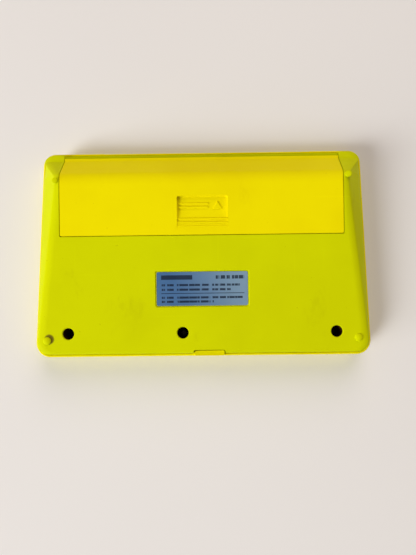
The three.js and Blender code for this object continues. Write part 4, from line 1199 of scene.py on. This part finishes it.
SLOT_MATERIALS = {
    "case_lemon": LEMON, "cover_yellow": COVER, "front_yellow": FRONT, "plate_print": PLATE,
    "label_foil": FOIL, "dark_steel": DARK_STEEL, "clear_window": CLEAR, "display_glass": GLASS,
    "silver_film": FILM, "black_plastic": BLACK, "conductive_rubber": ELASTOMER, "board_laminate": LAMINATE,
    "black_epoxy": EPOXY, "bright_steel": STEEL, "resistor_body": TAN, "brass": BRASS,
    "red_sleeve": RED_SLEEVE, "black_sleeve": BLACK_SLEEVE, "cell_sleeve": CELL, "button_red": RED_PLASTIC,
    "grey_rubber": GREY_RUBBER,
}


SOFT_EDGED = (
    "face_plate", "lcd_window", "lcd_frame", "main_board", "contact_mat_left", "contact_mat_right",
    "contact_plus", "contact_minus", "zebra_strip_upper", "zebra_strip_lower",
)


def paint_nodes():
    """Every CAD node that stays gets the material of its slot, and those in SOFT_EDGED get soft edges."""
    for row in frame["record"]["subparts"]:
        piece = nodes[row["node"]]
        piece.data.materials.clear()
        piece.data.materials.append(SLOT_MATERIALS[row["material_slot"]])
        for face in piece.data.polygons:
            face.material_index = 0
        if row["node"] in SOFT_EDGED:
            bevel = piece.modifiers.new("soft_edges", "BEVEL")
            bevel.width = 0.12 * MM
            bevel.segments = 2
            bevel.limit_method = "ANGLE"
            bevel.angle_limit = math.radians(40)


# ---- Stage, light and camera ----


def make_stage():
    mesh = bmesh.new()
    bmesh.ops.create_grid(mesh, x_segments=2, y_segments=2, size=3000)
    floor = store("floor", mesh)
    floor.data.materials.append(plain_floor("pale_floor"))


def add_light(name, place, target, size, watts, tint):
    light = bpy.data.lights.new(name, "AREA")
    light.shape = "DISK"
    light.size = size
    light.energy = watts
    light.color = tint
    lamp = bpy.data.objects.new(name, light)
    lamp.location = place
    lamp.rotation_mode = "QUATERNION"
    lamp.rotation_quaternion = (Vector(target) - Vector(place)).to_track_quat("-Z", "Y")
    bpy.context.scene.collection.objects.link(lamp)


def light_scene():
    add_light("key", (-1.82, -1.48, 1.54), (0, 0, 0.01), 1.1, 53, (1.0, 1.0, 1.0))
    add_light("top_fill", (0.3, 1.5, 1.3), (0, 0, 0), 1.6, 18.5, (1.0, 0.86, 0.8))
    add_light("left_fill", (-1.6, -0.7, 0.45), (0, 0, 0.01), 0.7, 9, (1.0, 1.0, 1.0))
    world = bpy.data.worlds.new("studio")
    world.use_nodes = True
    background = world.node_tree.nodes["Background"]
    background.inputs["Color"].default_value = (1.0, 0.88, 0.78, 1)
    background.inputs["Strength"].default_value = 0.26
    bpy.context.scene.world = world
    bpy.context.scene.view_settings.view_transform = "Standard"


def place_camera():
    """Looks straight down on the tilted back panel, from just below the middle of the game."""
    data = bpy.data.cameras.new("camera")
    data.sensor_width = 36
    data.lens = 27.05
    data.clip_start = 0.01
    camera = bpy.data.objects.new("camera", data)
    turn = (
        Matrix.Rotation(math.radians(7.411), 4, "X")
        @ Matrix.Rotation(math.radians(0.387), 4, "Y")
        @ Matrix.Rotation(math.radians(-0.687), 4, "Z")
    )
    camera.matrix_world = Matrix.Translation(Vector((3.44, -33.57, 171.39 + PARTING)) * MM) @ turn
    bpy.context.scene.collection.objects.link(camera)
    bpy.context.scene.camera = camera


# ---- Build ----

place_camera()
light_scene()
make_stage()
paint_nodes()

rear_case = make_rear_case()
shade(rear_case)
add_piece(rear_case, "housing", LEMON, ["rear_case"])

battery_cover = make_battery_cover()
shade(battery_cover)
add_piece(battery_cover, "battery_cover_body", COVER, ["battery_cover"])

front_case = make_front_case()
shade(front_case)
add_piece(front_case, "housing", FRONT, ["front_case"])

for name in ROUND_BUTTONS:
    cap = make_round_button(name)
    shade(cap)
    add_piece(cap, name + "_body", RED_PLASTIC, [name])
for name in KEYS:
    cap = make_key(name)
    shade(cap)
    add_piece(cap, name + "_body", GREY_RUBBER, [name])
for name in ("battery_left", "battery_right"):
    cell = make_cell(name)
    shade(cell)
    add_piece(cell, "housing", CELL, [name])
for name in SCREWS:
    screw = make_screw(name)
    shade(screw)
    add_piece(screw, "housing", DARK_STEEL, [name])
